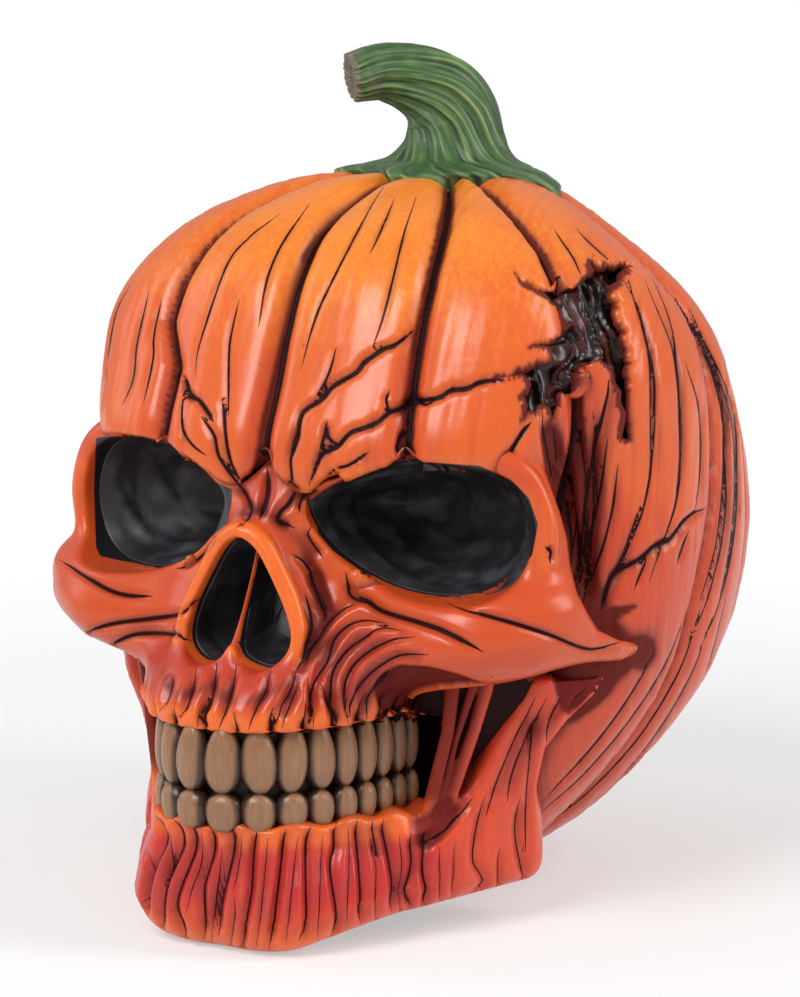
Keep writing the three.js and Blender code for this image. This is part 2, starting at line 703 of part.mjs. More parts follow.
// Angles that space the teeth of one side along the arch, each by its own width.
function toothPlaces() {
  const samples = [];
  let length = 0;
  for (let i = 0; i <= 400; i += 1) {
    const turn = (PI / 2) * (i / 400);
    if (i) length += archPoint(turn, 0).distanceTo(archPoint(samples[i - 1].turn, 0));
    samples.push({ turn, length });
  }
  const unit = length / toothWidthShares.reduce((sum, share) => sum + share, 0);
  let start = 0;
  return toothWidthShares.map((share) => {
    const middle = start + (share * unit) / 2;
    start += share * unit;
    const { turn } = samples.find((sample) => sample.length >= middle);
    return { turn, pitch: share * unit };
  });
}

// Stations of the stem above the crown: sway, rise, radius, and how far it drapes.
const stemStationShares = [
  [-0.12, -0.12, 1, 1], [-0.12, 0, 1, 1], [-0.12, 0.03, 0.74, 0.9], [-0.11, 0.11, 0.56, 0.5],
  [-0.11, 0.33, 0.45, 0], [-0.06, 0.58, 0.41, 0], [0.1, 0.8, 0.37, 0], [0.38, 0.94, 0.3, 0],
  [0.7, 1, 0.25, 0], [1, 0.955, 0.22, 0],
];
const stemRingCount = 15;
const stemUprightShare = 0.32;
const stemFootLobes = 5;
const stemFootSwell = 0.1;

// The height of the shell over a place near its crown.
function crownHeightAt(x, y) {
  let [low, high] = [0.5, 1];
  for (let i = 0; i < 24; i += 1) {
    const half = (low + high) / 2;
    if (shellFullness(x, y, half) < 1) low = half;
    else high = half;
  }
  return low * shellHeight;
}

function stemBody() {
  const heading = point(-1, -1, 0).normalize();
  const across = heading.clone().cross(point(0, 0, 1)).normalize();
  const foot = point(0, stemFootY, shellHeight - stemSeatDepth);
  const line = new THREE.CatmullRomCurve3(
    stemStationShares.map(([out, up]) =>
      foot.clone().addScaledVector(heading, out * stemSway).setZ(foot.z + up * stemRise),
    ),
  );
  const sides = stemRidgeCount * 3;
  const rings = [];
  for (let i = 0; i <= stemRingCount; i += 1) {
    const along = i / stemRingCount;
    const place = along * (stemStationShares.length - 1);
    const k = min(stemStationShares.length - 2, Math.floor(place));
    const station = stemStationShares[k].map((v, j) => mix(v, stemStationShares[k + 1][j], place - k));
    const radius = stemFlareRadius * station[2];
    const middle = line.getPoint(along);
    const lift = ease((along - stemUprightShare) / stemUprightShare);
    const forward = point(0, 0, 1).lerp(line.getTangent(along), lift).normalize();
    const up = across.clone().cross(forward).normalize();
    const ring = [];
    for (let s = 0; s < sides; s += 1) {
      const turn = (2 * PI * s) / sides + along * stemTwist;
      const ridge = stemRidgeDepth * (s % 3 ? 0.5 : -1) * min(1, station[2] + 0.4);
      const swell = 1 + stemFootSwell * station[3] * cos(stemFootLobes * turn);
      const p = middle.clone();
      p.addScaledVector(across, (radius * swell + ridge) * cos(turn));
      p.addScaledVector(up, (radius * swell + ridge) * sin(turn));
      const drape = crownHeightAt(p.x, p.y) - foot.z + (i ? stemDrapeLift : 0);
      p.z += drape * station[3];
      ring.push(p);
    }
    rings.push(ring);
  }
  return loft(rings);
}

// The broken temple: a jagged outline on the shell, as shares of its spread about a place.
const woundOutlineShares = [
  [-0.16, 0.8], [-0.02, 0.66], [0.16, 0.66], [0.62, 0.95], [0.68, 0.74], [1.2, 0.72],
  [0.86, 0.58], [0.56, 0.36], [0.44, 0.05], [0.36, -0.28], [0.26, -0.72], [0.12, -0.9],
  [0.14, -0.5], [0.1, -0.14], [-0.16, -0.36], [-0.3, -0.62], [-0.56, -0.72], [-0.5, -0.42],
  [-0.66, -0.24], [-0.46, -0.06], [-0.42, 0.1], [-0.16, 0.12], [-0.02, 0.4],
];

// Each corner of an outline moved inwards by a width, along both of its edges.
function insetOutline(outline, width) {
  return outline.map((corner, i) => {
    const before = outline[(i + outline.length - 1) % outline.length];
    const after = outline[(i + 1) % outline.length];
    const [a, b] = [corner.clone().sub(before).normalize(), after.clone().sub(corner).normalize()];
    const bisector = new THREE.Vector2(a.y + b.y, -a.x - b.x).normalize();
    const reach = width / max(0.45, bisector.dot(new THREE.Vector2(a.y, -a.x)));
    return corner.clone().addScaledVector(bisector, reach);
  });
}

// A slab that follows the shell under an outline, between two depths.
function shellSlab(width, shallow, deep) {
  const drawn = woundOutlineShares.map(
    ([a, b]) => new THREE.Vector2(a * woundAcross, b * woundHigh),
  );
  const flat = insetOutline(drawn, width);
  const rings = [deep, shallow].map((depth) =>
    flat.map((p) => {
      const azimuth = woundAzimuth + p.x / (shellHalfWidth * 0.85);
      return shellPlace(azimuth, (woundHeight + p.y) / shellHeight, -depth);
    }),
  );
  return stack(rings, flat);
}

const woundPocket = shellSlab(0, -overrun, woundDepth);

// The core fills the foot of the pocket, a gap off its floor and walls.
function woundCore() {
  const outward = point(sin(woundAzimuth), -cos(woundAzimuth), 0).multiplyScalar(2 * gap);
  const floorless = woundPocket.translate([outward.x, outward.y, outward.z]);
  return shellSlab(2 * gap, woundRecess, woundDepth).intersect(floorless);
}

let shell = shellBody(0);
let face = faceBody();
for (const side of [1, -1]) {
  face = face.add(cheekArch(side)).add(socketRim(side));
}
face = face.add(noseRim()).subtract(nosePlug(0, overrun * 2));
for (const side of [1, -1]) {
  face = face.subtract(socketPlug(side, 0, socketWallShares));
  shell = shell.subtract(socketPlug(side, 0, socketWallShares));
}
shell = shell.subtract(nosePlug(0, overrun * 2)).subtract(browNotch());
face = face.subtract(shellBody(gap));

const core = mouthCore(0, jawTop + gap, gumHeight - gap);
shell = shell.subtract(mouthCore(toothThickness, jawTop, gumHeight));

let jaw = jawBar();
for (const side of [1, -1]) jaw = jaw.add(ramus(side));
jaw = jaw.subtract(shellBody(gap));
for (const [x, y] of [[0, 0], [1, 0], [-1, 0], [0, 1], [0, -1]]) {
  jaw = jaw.subtract(face.translate([x * gap, y * gap, -gap]));
}

shell = shell.subtract(woundPocket);

addNode("pumpkin_shell", shell, shellOrange);
addNode("upper_face", face, boneOrange);
addNode("lower_jaw", jaw, boneOrange);
addNode("stem", stemBody().subtract(shellBody(gap)), stemGreen);
addNode("mouth_core", core, rotBrown);
addNode("wound_core", woundCore(), rotBrown);
addNode("nose_septum", septum(), boneOrange);

const places = toothPlaces();
const bed = mouthCore(gap, 0, shellHeight);
for (const [side, hand] of [[1, "left"], [-1, "right"]]) {
  addNode(`${hand}_eye_bowl`, socketBowl(side), socketBlack);
  addNode(`${hand}_nostril_pocket`, nostrilPocket(side), socketBlack);
  places.forEach(({ turn, pitch }, i) => {
    const width = pitch - 2 * gap;
    const upper = tooth(side, turn, width, upperToothBottom, upperToothTop, upperToothShares);
    const lower = tooth(side, turn, width * 0.9, lowerToothBottom, lowerToothTop, lowerToothShares);
    addNode(`upper_tooth_${hand}_${i + 1}`, upper.subtract(bed), toothBrown);
    addNode(`lower_tooth_${hand}_${i + 1}`, lower.subtract(bed), toothBrown);
  });
}

export default model;
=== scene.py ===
"""A painted resin skull with a pumpkin for a cranium, dressed over its CAD frame.

The bony forms are carved from blocks of signed distance, because a cast and sculpted skin
has no flat or turned faces to extrude. The teeth are modelled once and copied. Everything is
measured in millimetres until a mesh is written.
"""

import logging
import math
from dataclasses import dataclass, field
from enum import Enum
from functools import partial
from typing import Callable, Sequence

import bpy
import numpy as np
import openvdb
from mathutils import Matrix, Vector


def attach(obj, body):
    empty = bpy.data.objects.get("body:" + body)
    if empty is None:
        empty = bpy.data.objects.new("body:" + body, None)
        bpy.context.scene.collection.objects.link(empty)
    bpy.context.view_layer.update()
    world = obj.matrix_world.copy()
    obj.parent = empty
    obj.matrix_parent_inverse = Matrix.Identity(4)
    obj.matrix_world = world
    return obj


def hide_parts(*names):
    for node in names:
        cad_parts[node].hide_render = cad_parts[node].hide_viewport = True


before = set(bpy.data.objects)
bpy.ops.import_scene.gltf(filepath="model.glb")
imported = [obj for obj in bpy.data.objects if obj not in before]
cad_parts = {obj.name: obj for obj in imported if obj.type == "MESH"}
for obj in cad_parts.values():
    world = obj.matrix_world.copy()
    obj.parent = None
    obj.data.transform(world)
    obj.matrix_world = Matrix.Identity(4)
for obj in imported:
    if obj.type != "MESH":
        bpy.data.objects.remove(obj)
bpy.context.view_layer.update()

LOG = logging.getLogger("skull")
MM = 0.001
# A distance to a painted line beyond which none of it shows, in millimetres.
FAR = 9.0
Array = np.ndarray
Distance = Callable[[Array, Array, Array], Array]
Material = bpy.types.Material


class Side(Enum):
    """The figure's own sides, by the sign of x."""

    LEFT = 1
    RIGHT = -1


class Slot(Enum):
    """Colour slots that the pieces are built with; nothing here reads them."""

    SHELL = "pumpkin_orange"
    BONE = "bone_orange"
    JAW = "jaw_red"
    STEM = "stem_green"
    TOOTH = "tooth_tan"
    SOCKET = "socket_black"
    ROT = "rot_brown"


# Small tools for shapes


def smooth_min(a: Array, b: Array, blend: float) -> Array:
    """Join two distances with a rounded crease of the given width."""
    h = np.clip(0.5 + 0.5 * (b - a) / blend, 0.0, 1.0)
    return b * (1 - h) + a * h - blend * h * (1 - h)


def smooth_max(a: Array, b: Array, blend: float) -> Array:
    """Cut one distance by another with a rounded edge of the given width."""
    return -smooth_min(-a, -b, blend)


def ease(share: Array) -> Array:
    """Turn a share from 0 to 1 into a gentle start and stop."""
    t = np.clip(share, 0.0, 1.0)
    return t * t * (3 - 2 * t)


def bump(x: Array, width: float) -> Array:
    """Give a soft bell that is 1 at 0 and fades over a width."""
    return np.exp(-((x / width) ** 2))


def catmull(points: Array, count: int, closed: bool = False) -> Array:
    """Run a smooth line through points.

    Args:
        points: rows of coordinates.
        count: number of points wanted.
        closed: whether the last point joins the first.

    Returns:
        Rows of coordinates along the line.
    """
    p = np.asarray(points, float)
    n = len(p)
    if closed:
        t = np.arange(count) / count * n
        k = t.astype(int) % n
        picks = [p[(k + j) % n] for j in (-1, 0, 1, 2)]
        f = (t - np.floor(t))[:, None]
    else:
        padded = np.vstack([2 * p[0] - p[1], p, 2 * p[-1] - p[-2]])
        t = np.linspace(0, n - 1, count)
        k = np.minimum(t.astype(int), n - 2)
        picks = [padded[k + j] for j in (0, 1, 2, 3)]
        f = (t - k)[:, None]
    a, b, c, d = picks
    return 0.5 * (
        2 * b + (c - a) * f + (2 * a - 5 * b + 4 * c - d) * f**2 + (3 * b - a - 3 * c + d) * f**3
    )


def noise(points: Array, size: float, seed: int) -> Array:
    """Give soft random values from -1 to 1 that change over a size in millimetres."""
    cells = 32
    table = np.random.default_rng(seed).uniform(-1, 1, (cells, cells, cells))
    q = points / size + 1000.0
    base = np.floor(q).astype(int)
    f = q - base
    f = f * f * (3 - 2 * f)
    total = np.zeros(len(points))
    for corner in range(8):
        step = np.array([corner & 1, (corner >> 1) & 1, (corner >> 2) & 1])
        i = (base + step) % cells
        weight = np.prod(np.where(step, f, 1 - f), axis=1)
        total += weight * table[i[:, 0], i[:, 1], i[:, 2]]
    return total


@dataclass
class Table:
    """Values on a regular grid, read between its points."""

    values: Array
    low: tuple[float, float]
    step: tuple[float, float]

    def read(self, a: Array, b: Array) -> Array:
        """Give the value at each place, held at the grid's edge outside it."""
        rows, columns = self.values.shape
        p = np.clip((a - self.low[0]) / self.step[0], 0, rows - 1.001)
        q = np.clip((b - self.low[1]) / self.step[1], 0, columns - 1.001)
        i, j = p.astype(int), q.astype(int)
        s, t = p - i, q - j
        v = self.values
        near = v[i, j] * (1 - t) + v[i, j + 1] * t
        far = v[i + 1, j] * (1 - t) + v[i + 1, j + 1] * t
        return near * (1 - s) + far * s


def segment_reach(u: Array, v: Array, line: Array) -> tuple[Array, Array, Array]:
    """Measure places against an open line of points.

    Args:
        u, v: the places.
        line: rows of points.

    Returns:
        The distance, the distance with a sign for the side, and the share along the line.
    """
    best = np.full(u.shape, np.inf)
    side = np.zeros(u.shape)
    share = np.zeros(u.shape)
    lengths = np.hypot(*np.diff(line, axis=0).T)
    starts = np.concatenate([[0], np.cumsum(lengths)])
    for k, (a, b) in enumerate(zip(line[:-1], line[1:])):
        d = b - a
        length2 = max(float(d @ d), 1e-9)
        t = np.clip(((u - a[0]) * d[0] + (v - a[1]) * d[1]) / length2, 0, 1)
        x, y = u - a[0] - t * d[0], v - a[1] - t * d[1]
        reach = x * x + y * y
        nearer = reach < best
        best = np.where(nearer, reach, best)
        cross = (d[0] * (v - a[1]) - d[1] * (u - a[0])) / math.sqrt(length2)
        side = np.where(nearer, cross, side)
        share = np.where(nearer, (starts[k] + t * lengths[k]) / starts[-1], share)
    best = np.sqrt(best)
    return best, np.copysign(np.minimum(np.abs(side), best), side), share


class Outline:
    """A closed flat outline with the signed distance to it kept in a table."""

    def __init__(self, corners: Array, step: float = 0.4, margin: float = 16.0) -> None:
        """Measure the outline on a fine grid."""
        self.corners = np.asarray(corners, float)
        low = self.corners.min(0) - margin
        high = self.corners.max(0) + margin
        a, b = np.meshgrid(
            np.arange(low[0], high[0], step), np.arange(low[1], high[1], step), indexing="ij"
        )
        best = np.full(a.shape, np.inf)
        inside = np.zeros(a.shape, bool)
        for p, q in zip(self.corners, np.roll(self.corners, -1, axis=0)):
            d = q - p
            t = np.clip(((a - p[0]) * d[0] + (b - p[1]) * d[1]) / max(d @ d, 1e-9), 0, 1)
            best = np.minimum(best, np.hypot(a - p[0] - t * d[0], b - p[1] - t * d[1]))
            if d[1] != 0:
                crosses = ((p[1] > b) != (q[1] > b)) & (a < p[0] + d[0] * (b - p[1]) / d[1])
                inside ^= crosses
        self.table = Table(np.where(inside, -best, best), (low[0], low[1]), (step, step))

    def reach(self, a: Array, b: Array) -> Array:
        """Give the signed distance to the outline, below 0 inside it."""
        return self.table.read(a, b)


def rod(x: Array, y: Array, z: Array, stations: Array) -> Array:
    """Give the distance to a limb through stations of x, y, z, thickness and height."""
    total = np.full(np.shape(x), np.inf)
    for a, b in zip(stations[:-1], stations[1:]):
        d = b[:3] - a[:3]
        t = ((x - a[0]) * d[0] + (y - a[1]) * d[1] + (z - a[2]) * d[2]) / (d @ d)
        t = np.clip(t, 0, 1)
        wide = a[3] + (b[3] - a[3]) * t
        high = a[4] + (b[4] - a[4]) * t
        flat = np.hypot(x - a[0] - t * d[0], y - a[1] - t * d[1])
        up = (z - a[2] - t * d[2]) * wide / high
        total = np.minimum(total, (np.hypot(flat, up) - wide) * np.minimum(1, high / wide))
    return total


# The photograph's view, and lines drawn in it


def bearing(azimuth: float, elevation: float) -> Array:
    """Give the direction from the head to a place at two angles in degrees."""
    a, e = math.radians(azimuth), math.radians(elevation)
    return np.array([math.sin(a) * math.cos(e), -math.cos(a) * math.cos(e), math.sin(e)])


@dataclass(frozen=True)
class PhotoView:
    """The camera of the photograph, and places in its frame of 800 by 997."""

    azimuth: float = 30.0
    elevation: float = 8.8
    distance: float = 800.0
    focal: float = 3640.0
    middle: tuple[float, float] = (400.0, 498.5)
    target: tuple[float, float, float] = (0.0, 0.0, 84.0)
    sensor: float = 36.0

    @property
    def scale(self) -> float:
        """Give the pixels to a millimetre at the target."""
        return self.focal / self.distance

    def axes(self) -> Array:
        """Give the right, up and backward directions of the camera as rows."""
        back = bearing(self.azimuth, self.elevation)
        turn = math.radians(self.azimuth)
        right = np.array([math.cos(turn), math.sin(turn), 0.0])
        return np.array([right, np.cross(back, right), back])

    def place(self) -> Array:
        """Give the camera's place in millimetres."""
        return np.array(self.target) + self.distance * self.axes()[2]

    def pixels(self, points: Array) -> tuple[Array, Array]:
        """Give where points fall in the photograph's frame."""
        q = (points - self.place()) @ self.axes().T
        u = self.middle[0] - self.focal * q[..., 0] / q[..., 2]
        return u, self.middle[1] + self.focal * q[..., 1] / q[..., 2]

    def facing(self, points: Array, normals: Array) -> Array:
        """Give how squarely each point faces the camera, from -1 to 1."""
        toward = self.place() - points
        toward /= np.linalg.norm(toward, axis=1)[:, None]
        return np.einsum("ij,ij->i", toward, normals)


VIEW = PhotoView()
MIRROR = np.array([-1.0, 1.0, 1.0])


def seen_reach(outline: Outline, *places: Array) -> Array:
    """Give the millimetres from an outline of the photograph's frame to places seen there."""
    return outline.reach(*VIEW.pixels(np.stack(places, axis=-1))) / VIEW.scale


def trace(text: str) -> Array:
    """Read places that are written as x,y and parted by spaces."""
    return np.array([pair.split(",") for pair in text.split()], float)


@dataclass(frozen=True)
class Stroke:
    """One carved and painted line of the sculpt, drawn in the photograph's frame.

    Sizes are millimetres: depth into the skin (below 0 for a raised strand), half-width of
    the dent, and half-width of the dark paint in it. Shade is the strength of the painted
    shade beside it, which is a painted highlight below 0.
    """

    line: str
    depth: float = 0.4
    width: float = 0.8
    ink: float = 0.4
    shade: float = 0.35
    taper: float = 0.2
    mirrored: bool = True


def strokes(lines: str, **sizes: float) -> list[Stroke]:
    """Make strokes of one kind, each from a row of places."""
    return [Stroke(line, **sizes) for line in lines.split("\n") if line]


@dataclass(frozen=True)
class Pool:
    """A closed patch of the photograph's frame that lies deeper and takes painted shade and red
    paint.

    Sizes are millimetres: how deep it is pressed, and the width of its soft edge. Shade is
    the strength of the painted shade, and blush how red the paint under it is.
    """

    outline: str
    depth: float = 0.0
    edge: float = 1.2
    shade: float = 0.8
    blush: float = 0.0
    black: bool = False
    mirrored: bool = True

    def table(self) -> Outline:
        """Measure the patch, in pixels."""
        corners = trace(self.outline)
        return Outline(catmull(corners, 6 * len(corners), closed=True), 2.0, 24.0)


# A skin of points and faces


@dataclass
class Skin:
    """A closed surface in millimetres that is carved and painted point by point."""

    points: Array
    quads: Array
    tris: Array = field(default_factory=lambda: np.zeros((0, 3), int))
    ink: Array = field(init=False)
    tone: Array = field(init=False)
    black: Array = field(init=False)
    edges: Array = field(init=False)

    def __post_init__(self) -> None:
        """Find the edges and turn the faces outwards."""
        pairs = [self.quads[:, [i, (i + 1) % 4]] for i in range(4)]
        pairs += [self.tris[:, [i, (i + 1) % 3]] for i in range(3)]
        flat = np.sort(np.vstack(pairs), axis=1)
        keys = np.unique(flat[:, 0].astype(np.int64) * len(self.points) + flat[:, 1])
        self.edges = np.stack([keys // len(self.points), keys % len(self.points)], axis=1)
        count = len(self.points)
        self.ink = np.tile([FAR, FAR, 0.3], (count, 1))
        self.tone = np.zeros((count, 3))
        self.black = np.zeros((count, 3))
        if self.volume() < 0:
            self.quads = self.quads[:, ::-1]
            self.tris = self.tris[:, ::-1]

    def triangles(self) -> Array:
        """Give the faces as triangles."""
        q = self.quads
        return np.vstack([q[:, [0, 1, 2]], q[:, [0, 2, 3]], self.tris])

    def volume(self) -> float:
        """Give the signed volume."""
        a, b, c = (self.points[self.triangles()[:, i]] for i in range(3))
        return float(np.einsum("ij,ij->i", a, np.cross(b, c)).sum() / 6)

    def normals(self) -> Array:
        """Give the outward direction at each point."""
        t = self.triangles()
        a, b, c = (self.points[t[:, i]] for i in range(3))
        face = np.cross(b - a, c - a)
        total = np.zeros_like(self.points)
        for corner in range(3):
            for axis in range(3):
                total[:, axis] += np.bincount(t[:, corner], face[:, axis], len(self.points))
        return total / np.maximum(np.linalg.norm(total, axis=1), 1e-9)[:, None]

    def averaged(self, values: Array, rounds: int) -> Array:
        """Spread values over the neighbours a number of times."""
        a, b = self.edges.T
        count = len(self.points)
        degree = np.maximum(np.bincount(a, minlength=count) + np.bincount(b, minlength=count), 1)
        out = np.array(values, float)
        flat = out.reshape(count, -1)
        for _ in range(rounds):
            for axis in range(flat.shape[1]):
                column = flat[:, axis]
                near = np.bincount(a, column[b], count) + np.bincount(b, column[a], count)
                flat[:, axis] = 0.5 * column + 0.5 * near / degree
        return flat.reshape(out.shape)

    def hollowness(self, rounds: int) -> Array:
        """Give how far each point lies below its neighbourhood, in millimetres."""
        lifted = self.averaged(self.points, rounds) - self.points
        return np.einsum("ij,ij->i", lifted, self.normals())

    def settle(self, distance: Distance) -> None:
        """Move the points onto the surface that a distance describes, in two steps."""
        for _ in range(2):
            x, y, z = self.points.T
            shift = np.clip(distance(x, y, z), -0.5, 0.5)
            self.points -= shift[:, None] * self.normals()

    def draw_line(self, pick: object, signed: Array, reach: Array, width: Array) -> None:
        """Keep a painted line where it is nearer than the lines before it."""
        old = self.ink[pick]
        nearer = reach - width < old[:, 1] - old[:, 2]
        new = np.stack([signed, reach, np.broadcast_to(width, reach.shape)], axis=1)
        self.ink[pick] = np.where(nearer[:, None], new, old)

    def seen(self, lowest: float) -> list[tuple[Array, Array, Array, Array]]:
        """Give the points that the camera sees, then those that it would see in a mirror.

        Returns:
            For each view the points' numbers, their pixels, and how squarely they face it.
        """
        normals = self.normals()
        front = VIEW.facing(self.points, normals)
        flipped = VIEW.facing(self.points * MIRROR, normals * MIRROR)
        views = []
        behind = (flipped > lowest) & (front < lowest)
        for flip, weight, fit in ((1.0, front, front > lowest), (MIRROR, flipped, behind)):
            pick = np.flatnonzero(fit)
            views.append((pick, *VIEW.pixels(self.points[pick] * flip), weight[pick]))
        return views

    def carve(self, drawn: Sequence[Stroke]) -> None:
        """Carve and paint strokes where the camera sees the skin, and mirrored where not."""
        normals = self.normals()
        sink = np.zeros(len(self.points))
        views = self.seen(0.12)
        for stroke in drawn:
            corners = trace(stroke.line)
            line = catmull(corners, 5 * len(corners))
            margin = VIEW.scale * (3 * stroke.width + 3)
            low, high = line.min(0) - margin, line.max(0) + margin
            for seen, u, v, weight in views[: 1 + stroke.mirrored]:
                near = (u > low[0]) & (u < high[0]) & (v > low[1]) & (v < high[1])
                pick = seen[near]
                if not len(pick):
                    continue
                reach, signed, share = segment_reach(u[near], v[near], line)
                slant = VIEW.scale * np.sqrt(np.clip(weight[near], 0.1, 1))
                reach, signed = reach / slant, signed / slant
                thin = np.sqrt(np.clip(np.minimum(share, 1 - share) / stroke.taper, 0.02, 1))
                sink[pick] += stroke.depth * thin * bump(reach, stroke.width)
                # Painted shade beside the line, wider than its dent and its dark paint; below 0 a
                # painted highlight on a raised strand.
                self.tone[pick, 0] += stroke.shade * thin * bump(reach, 1.9 * stroke.width)
                if stroke.ink:
                    self.draw_line(pick, signed, reach, stroke.ink * thin)
        self.points -= sink[:, None] * normals

    def flood(self, pools: Sequence[Pool]) -> None:
        """Press in patches, with painted shade and red, where the camera sees the skin and mirrored
        where not.
        """
        normals = self.normals()
        views = self.seen(0.1)
        for pool in pools:
            outline = pool.table()
            for pick, u, v, _ in views[: 1 + pool.mirrored]:
                share = ease(0.5 - outline.reach(u, v) / VIEW.scale / (2 * pool.edge))
                self.points[pick] -= (pool.depth * share)[:, None] * normals[pick]
                self.tone[pick, 0] += pool.shade * share
                self.tone[pick, 1] += pool.blush * share
                if pool.black:
                    self.ink[pick[share > 0.5]] = (0.0, 0.0, 6.0)

    def shade(self, share: Array) -> None:
        """Add to the dark coat: dark paint, and painted shade where it follows hollows and creases.
        """
        self.tone[:, 0] += share

    def redden(self, share: Array) -> None:
        """Add to the red coat."""
        self.tone[:, 1] += share

    def brighten(self, share: Array) -> None:
        """Add to the bright coat: lighter paint, and painted highlight where it follows crests."""
        self.tone[:, 2] += share

    def blacken(self, reach: Array) -> None:
        """Paint points black where the distance to a hollow is below nought."""
        self.black[:, 0] = np.maximum(self.black[:, 0], np.clip(0.5 - reach / 1.2, 0, 1))

    def wash_and_shade(self, fine: float, broad: float, spread: int = 16) -> None:
        """Paint hollows darker and crests lighter, as painted shade and highlight and as dry-brushed
        paint.
        """
        near = self.hollowness(3)
        far = self.hollowness(spread)
        self.shade(np.clip(near * fine, 0, 0.8) + np.clip(far * broad, 0, 0.8))
        self.brighten(np.clip(-near * fine, 0, 0.7) + np.clip(-far * broad, 0, 0.5))

    def piece(self, name: str, material: Material, slot: Slot, *nodes: str) -> None:
        """Write the skin as a finished piece that replaces CAD nodes."""
        mesh = bpy.data.meshes.new(name)
        faces = [*self.quads.tolist(), *self.tris.tolist()]
        mesh.from_pydata((self.points * MM).tolist(), [], faces)
        add_layer(mesh, "ink", self.ink)
        add_layer(mesh, "tone", np.clip(self.tone, 0, 1))
        add_layer(mesh, "black", self.black)
        finish_piece(name, mesh, material, slot, *nodes)


def mesh_points(mesh: bpy.types.Mesh) -> Array:
    """Give the points of a mesh as rows."""
    flat = np.empty(3 * len(mesh.vertices))
    mesh.vertices.foreach_get("co", flat)
    return flat.reshape(-1, 3)


def add_layer(mesh: bpy.types.Mesh, name: str, values: Array) -> None:
    """Give a mesh an attribute of three numbers a point."""
    layer = mesh.attributes.new(name, "FLOAT_VECTOR", "POINT")
    layer.data.foreach_set("vector", values.astype(np.float32).ravel())


def finish_piece(
    name: str, mesh: bpy.types.Mesh, material: Material, slot: Slot, *nodes: str
) -> None:
    """Give a mesh its object, its material and its body, and hide the nodes that it replaces."""
    mesh.shade_smooth()
    mesh.update()
    mesh.materials.clear()
    mesh.materials.append(material)
    thing = bpy.data.objects.new(name, mesh)
    bpy.context.scene.collection.objects.link(thing)
    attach(thing, "root")
    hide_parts(*nodes)
    LOG.info("%s: %d faces", thing.name, len(mesh.polygons))


def polygonise(distance: Distance, xs: Array, ys: Array, zs: Array) -> Skin:
    """Turn a signed distance into a skin of quads.

    Args:
        distance: gives the distance at places.
        xs, ys, zs: the grid's lines, closer together in some parts.

    Returns:
        The skin where the distance is 0.
    """
    gx, gy = np.meshgrid(xs, ys, indexing="ij")
    values = np.empty((len(xs), len(ys), len(zs)), np.float32)
    for k, z in enumerate(zs):
        values[:, :, k] = np.clip(distance(gx, gy, np.full_like(gx, z)), -6, 6)
    grid = openvdb.FloatGrid(6.0)
    grid.copyFromArray(values)
    points, quads = grid.convertToQuads(0.0)
    points = points.astype(float)
    count = np.arange(max(values.shape))
    for column, lines in zip(points.T, (xs, ys, zs)):
        column[:] = np.interp(column, count[: len(lines)], lines)
    skin = Skin(points, quads.astype(int))
    skin.settle(distance)
    return skin


def grid_lines(low: float, *spans: tuple[float, float]) -> Array:
    """Give grid lines from a place through spans of end and step, which change gently."""
    ends, steps = zip(*spans)
    middles = [(a + b) / 2 for a, b in zip((low, *ends), ends)]
    lines = [low]
    while lines[-1] < ends[-1]:
        lines.append(lines[-1] + float(np.interp(lines[-1], middles, steps)))
    return np.array(lines)


# The forms that several pieces share

# Degrees from the middle of the face, a little past its side.
DEGREES = np.arange(0, 96, 1.0)


def about(line_y: float, row: Array) -> tuple[Array, Array]:
    """Give the degrees and the radius of places about an upright line."""
    ahead = line_y - row[:, 1]
    degrees = np.degrees(np.arctan2(row[:, 0], ahead))
    return np.maximum.accumulate(degrees), np.hypot(row[:, 0], ahead)


# Height of each ring, then its lean, half-width, front and back, as shares of the form's sizes.
SHELL_ROWS = np.array([
    [0, -0.28, 0.286, 0.365, 0.404], [0.019, -0.18, 0.335, 0.396, 0.435],
    [0.052, -0.02, 0.42, 0.448, 0.488], [0.103, 0.25, 0.566, 0.531, 0.572],
    [0.161, 0.48, 0.695, 0.622, 0.66], [0.226, 0.69, 0.811, 0.718, 0.751],
    [0.297, 0.87, 0.91, 0.815, 0.84], [0.368, 0.97, 0.966, 0.9, 0.914],
    [0.439, 0.99, 0.989, 0.963, 0.967], [0.51, 0.98, 0.998, 1, 0.999],
    [0.581, 0.88, 0.993, 0.997, 0.993], [0.639, 0.74, 0.986, 0.983, 0.979],
    [0.69, 0.57, 0.98, 0.922, 0.939], [0.742, 0.38, 0.97, 0.839, 0.881],
    [0.787, 0.22, 0.941, 0.768, 0.84], [0.832, 0.07, 0.888, 0.692, 0.77],
    [0.871, -0.07, 0.81, 0.62, 0.7], [0.903, -0.12, 0.726, 0.55, 0.635],
    [0.932, -0.14, 0.636, 0.476, 0.575], [0.955, -0.03, 0.548, 0.4, 0.52],
    [0.974, 0.26, 0.447, 0.328, 0.465], [0.99, 0.8, 0.336, 0.305, 0.38],
    [1, 1.2, 0.16, 0.17, 0.17],
])
# The line that the lobes turn about: height and how far back, as shares.
LOBE_AXIS = np.array([[0, -0.2], [0.4, 0.2], [0.64, 0.38], [0.8, 0.5], [0.9, 0.68], [1, 1]])
# Heights and degrees of the valleys that the photograph shows. The others are straight.
SEEN_VALLEYS = {
    0: ((0, 0), (100, 0), (140, -1), (155, -3)),
    1: ((0, 30), (60, 28.5), (110, 27.5), (130, 28.9), (146, 30.7), (155, 32)),
    2: ((0, 60), (100, 60), (134, 56), (142, 54.6), (155, 47)),
    3: ((0, 91), (63, 92.4), (86, 97.3), (98, 98.2), (130, 96), (155, 90)),
    11: ((0, -27), (60, -24), (106, -23), (117, -24.5), (126, -30), (146, -31.5), (155, -35)),
}
LOBES = 12
LOBE_DEGREES = 360 // LOBES


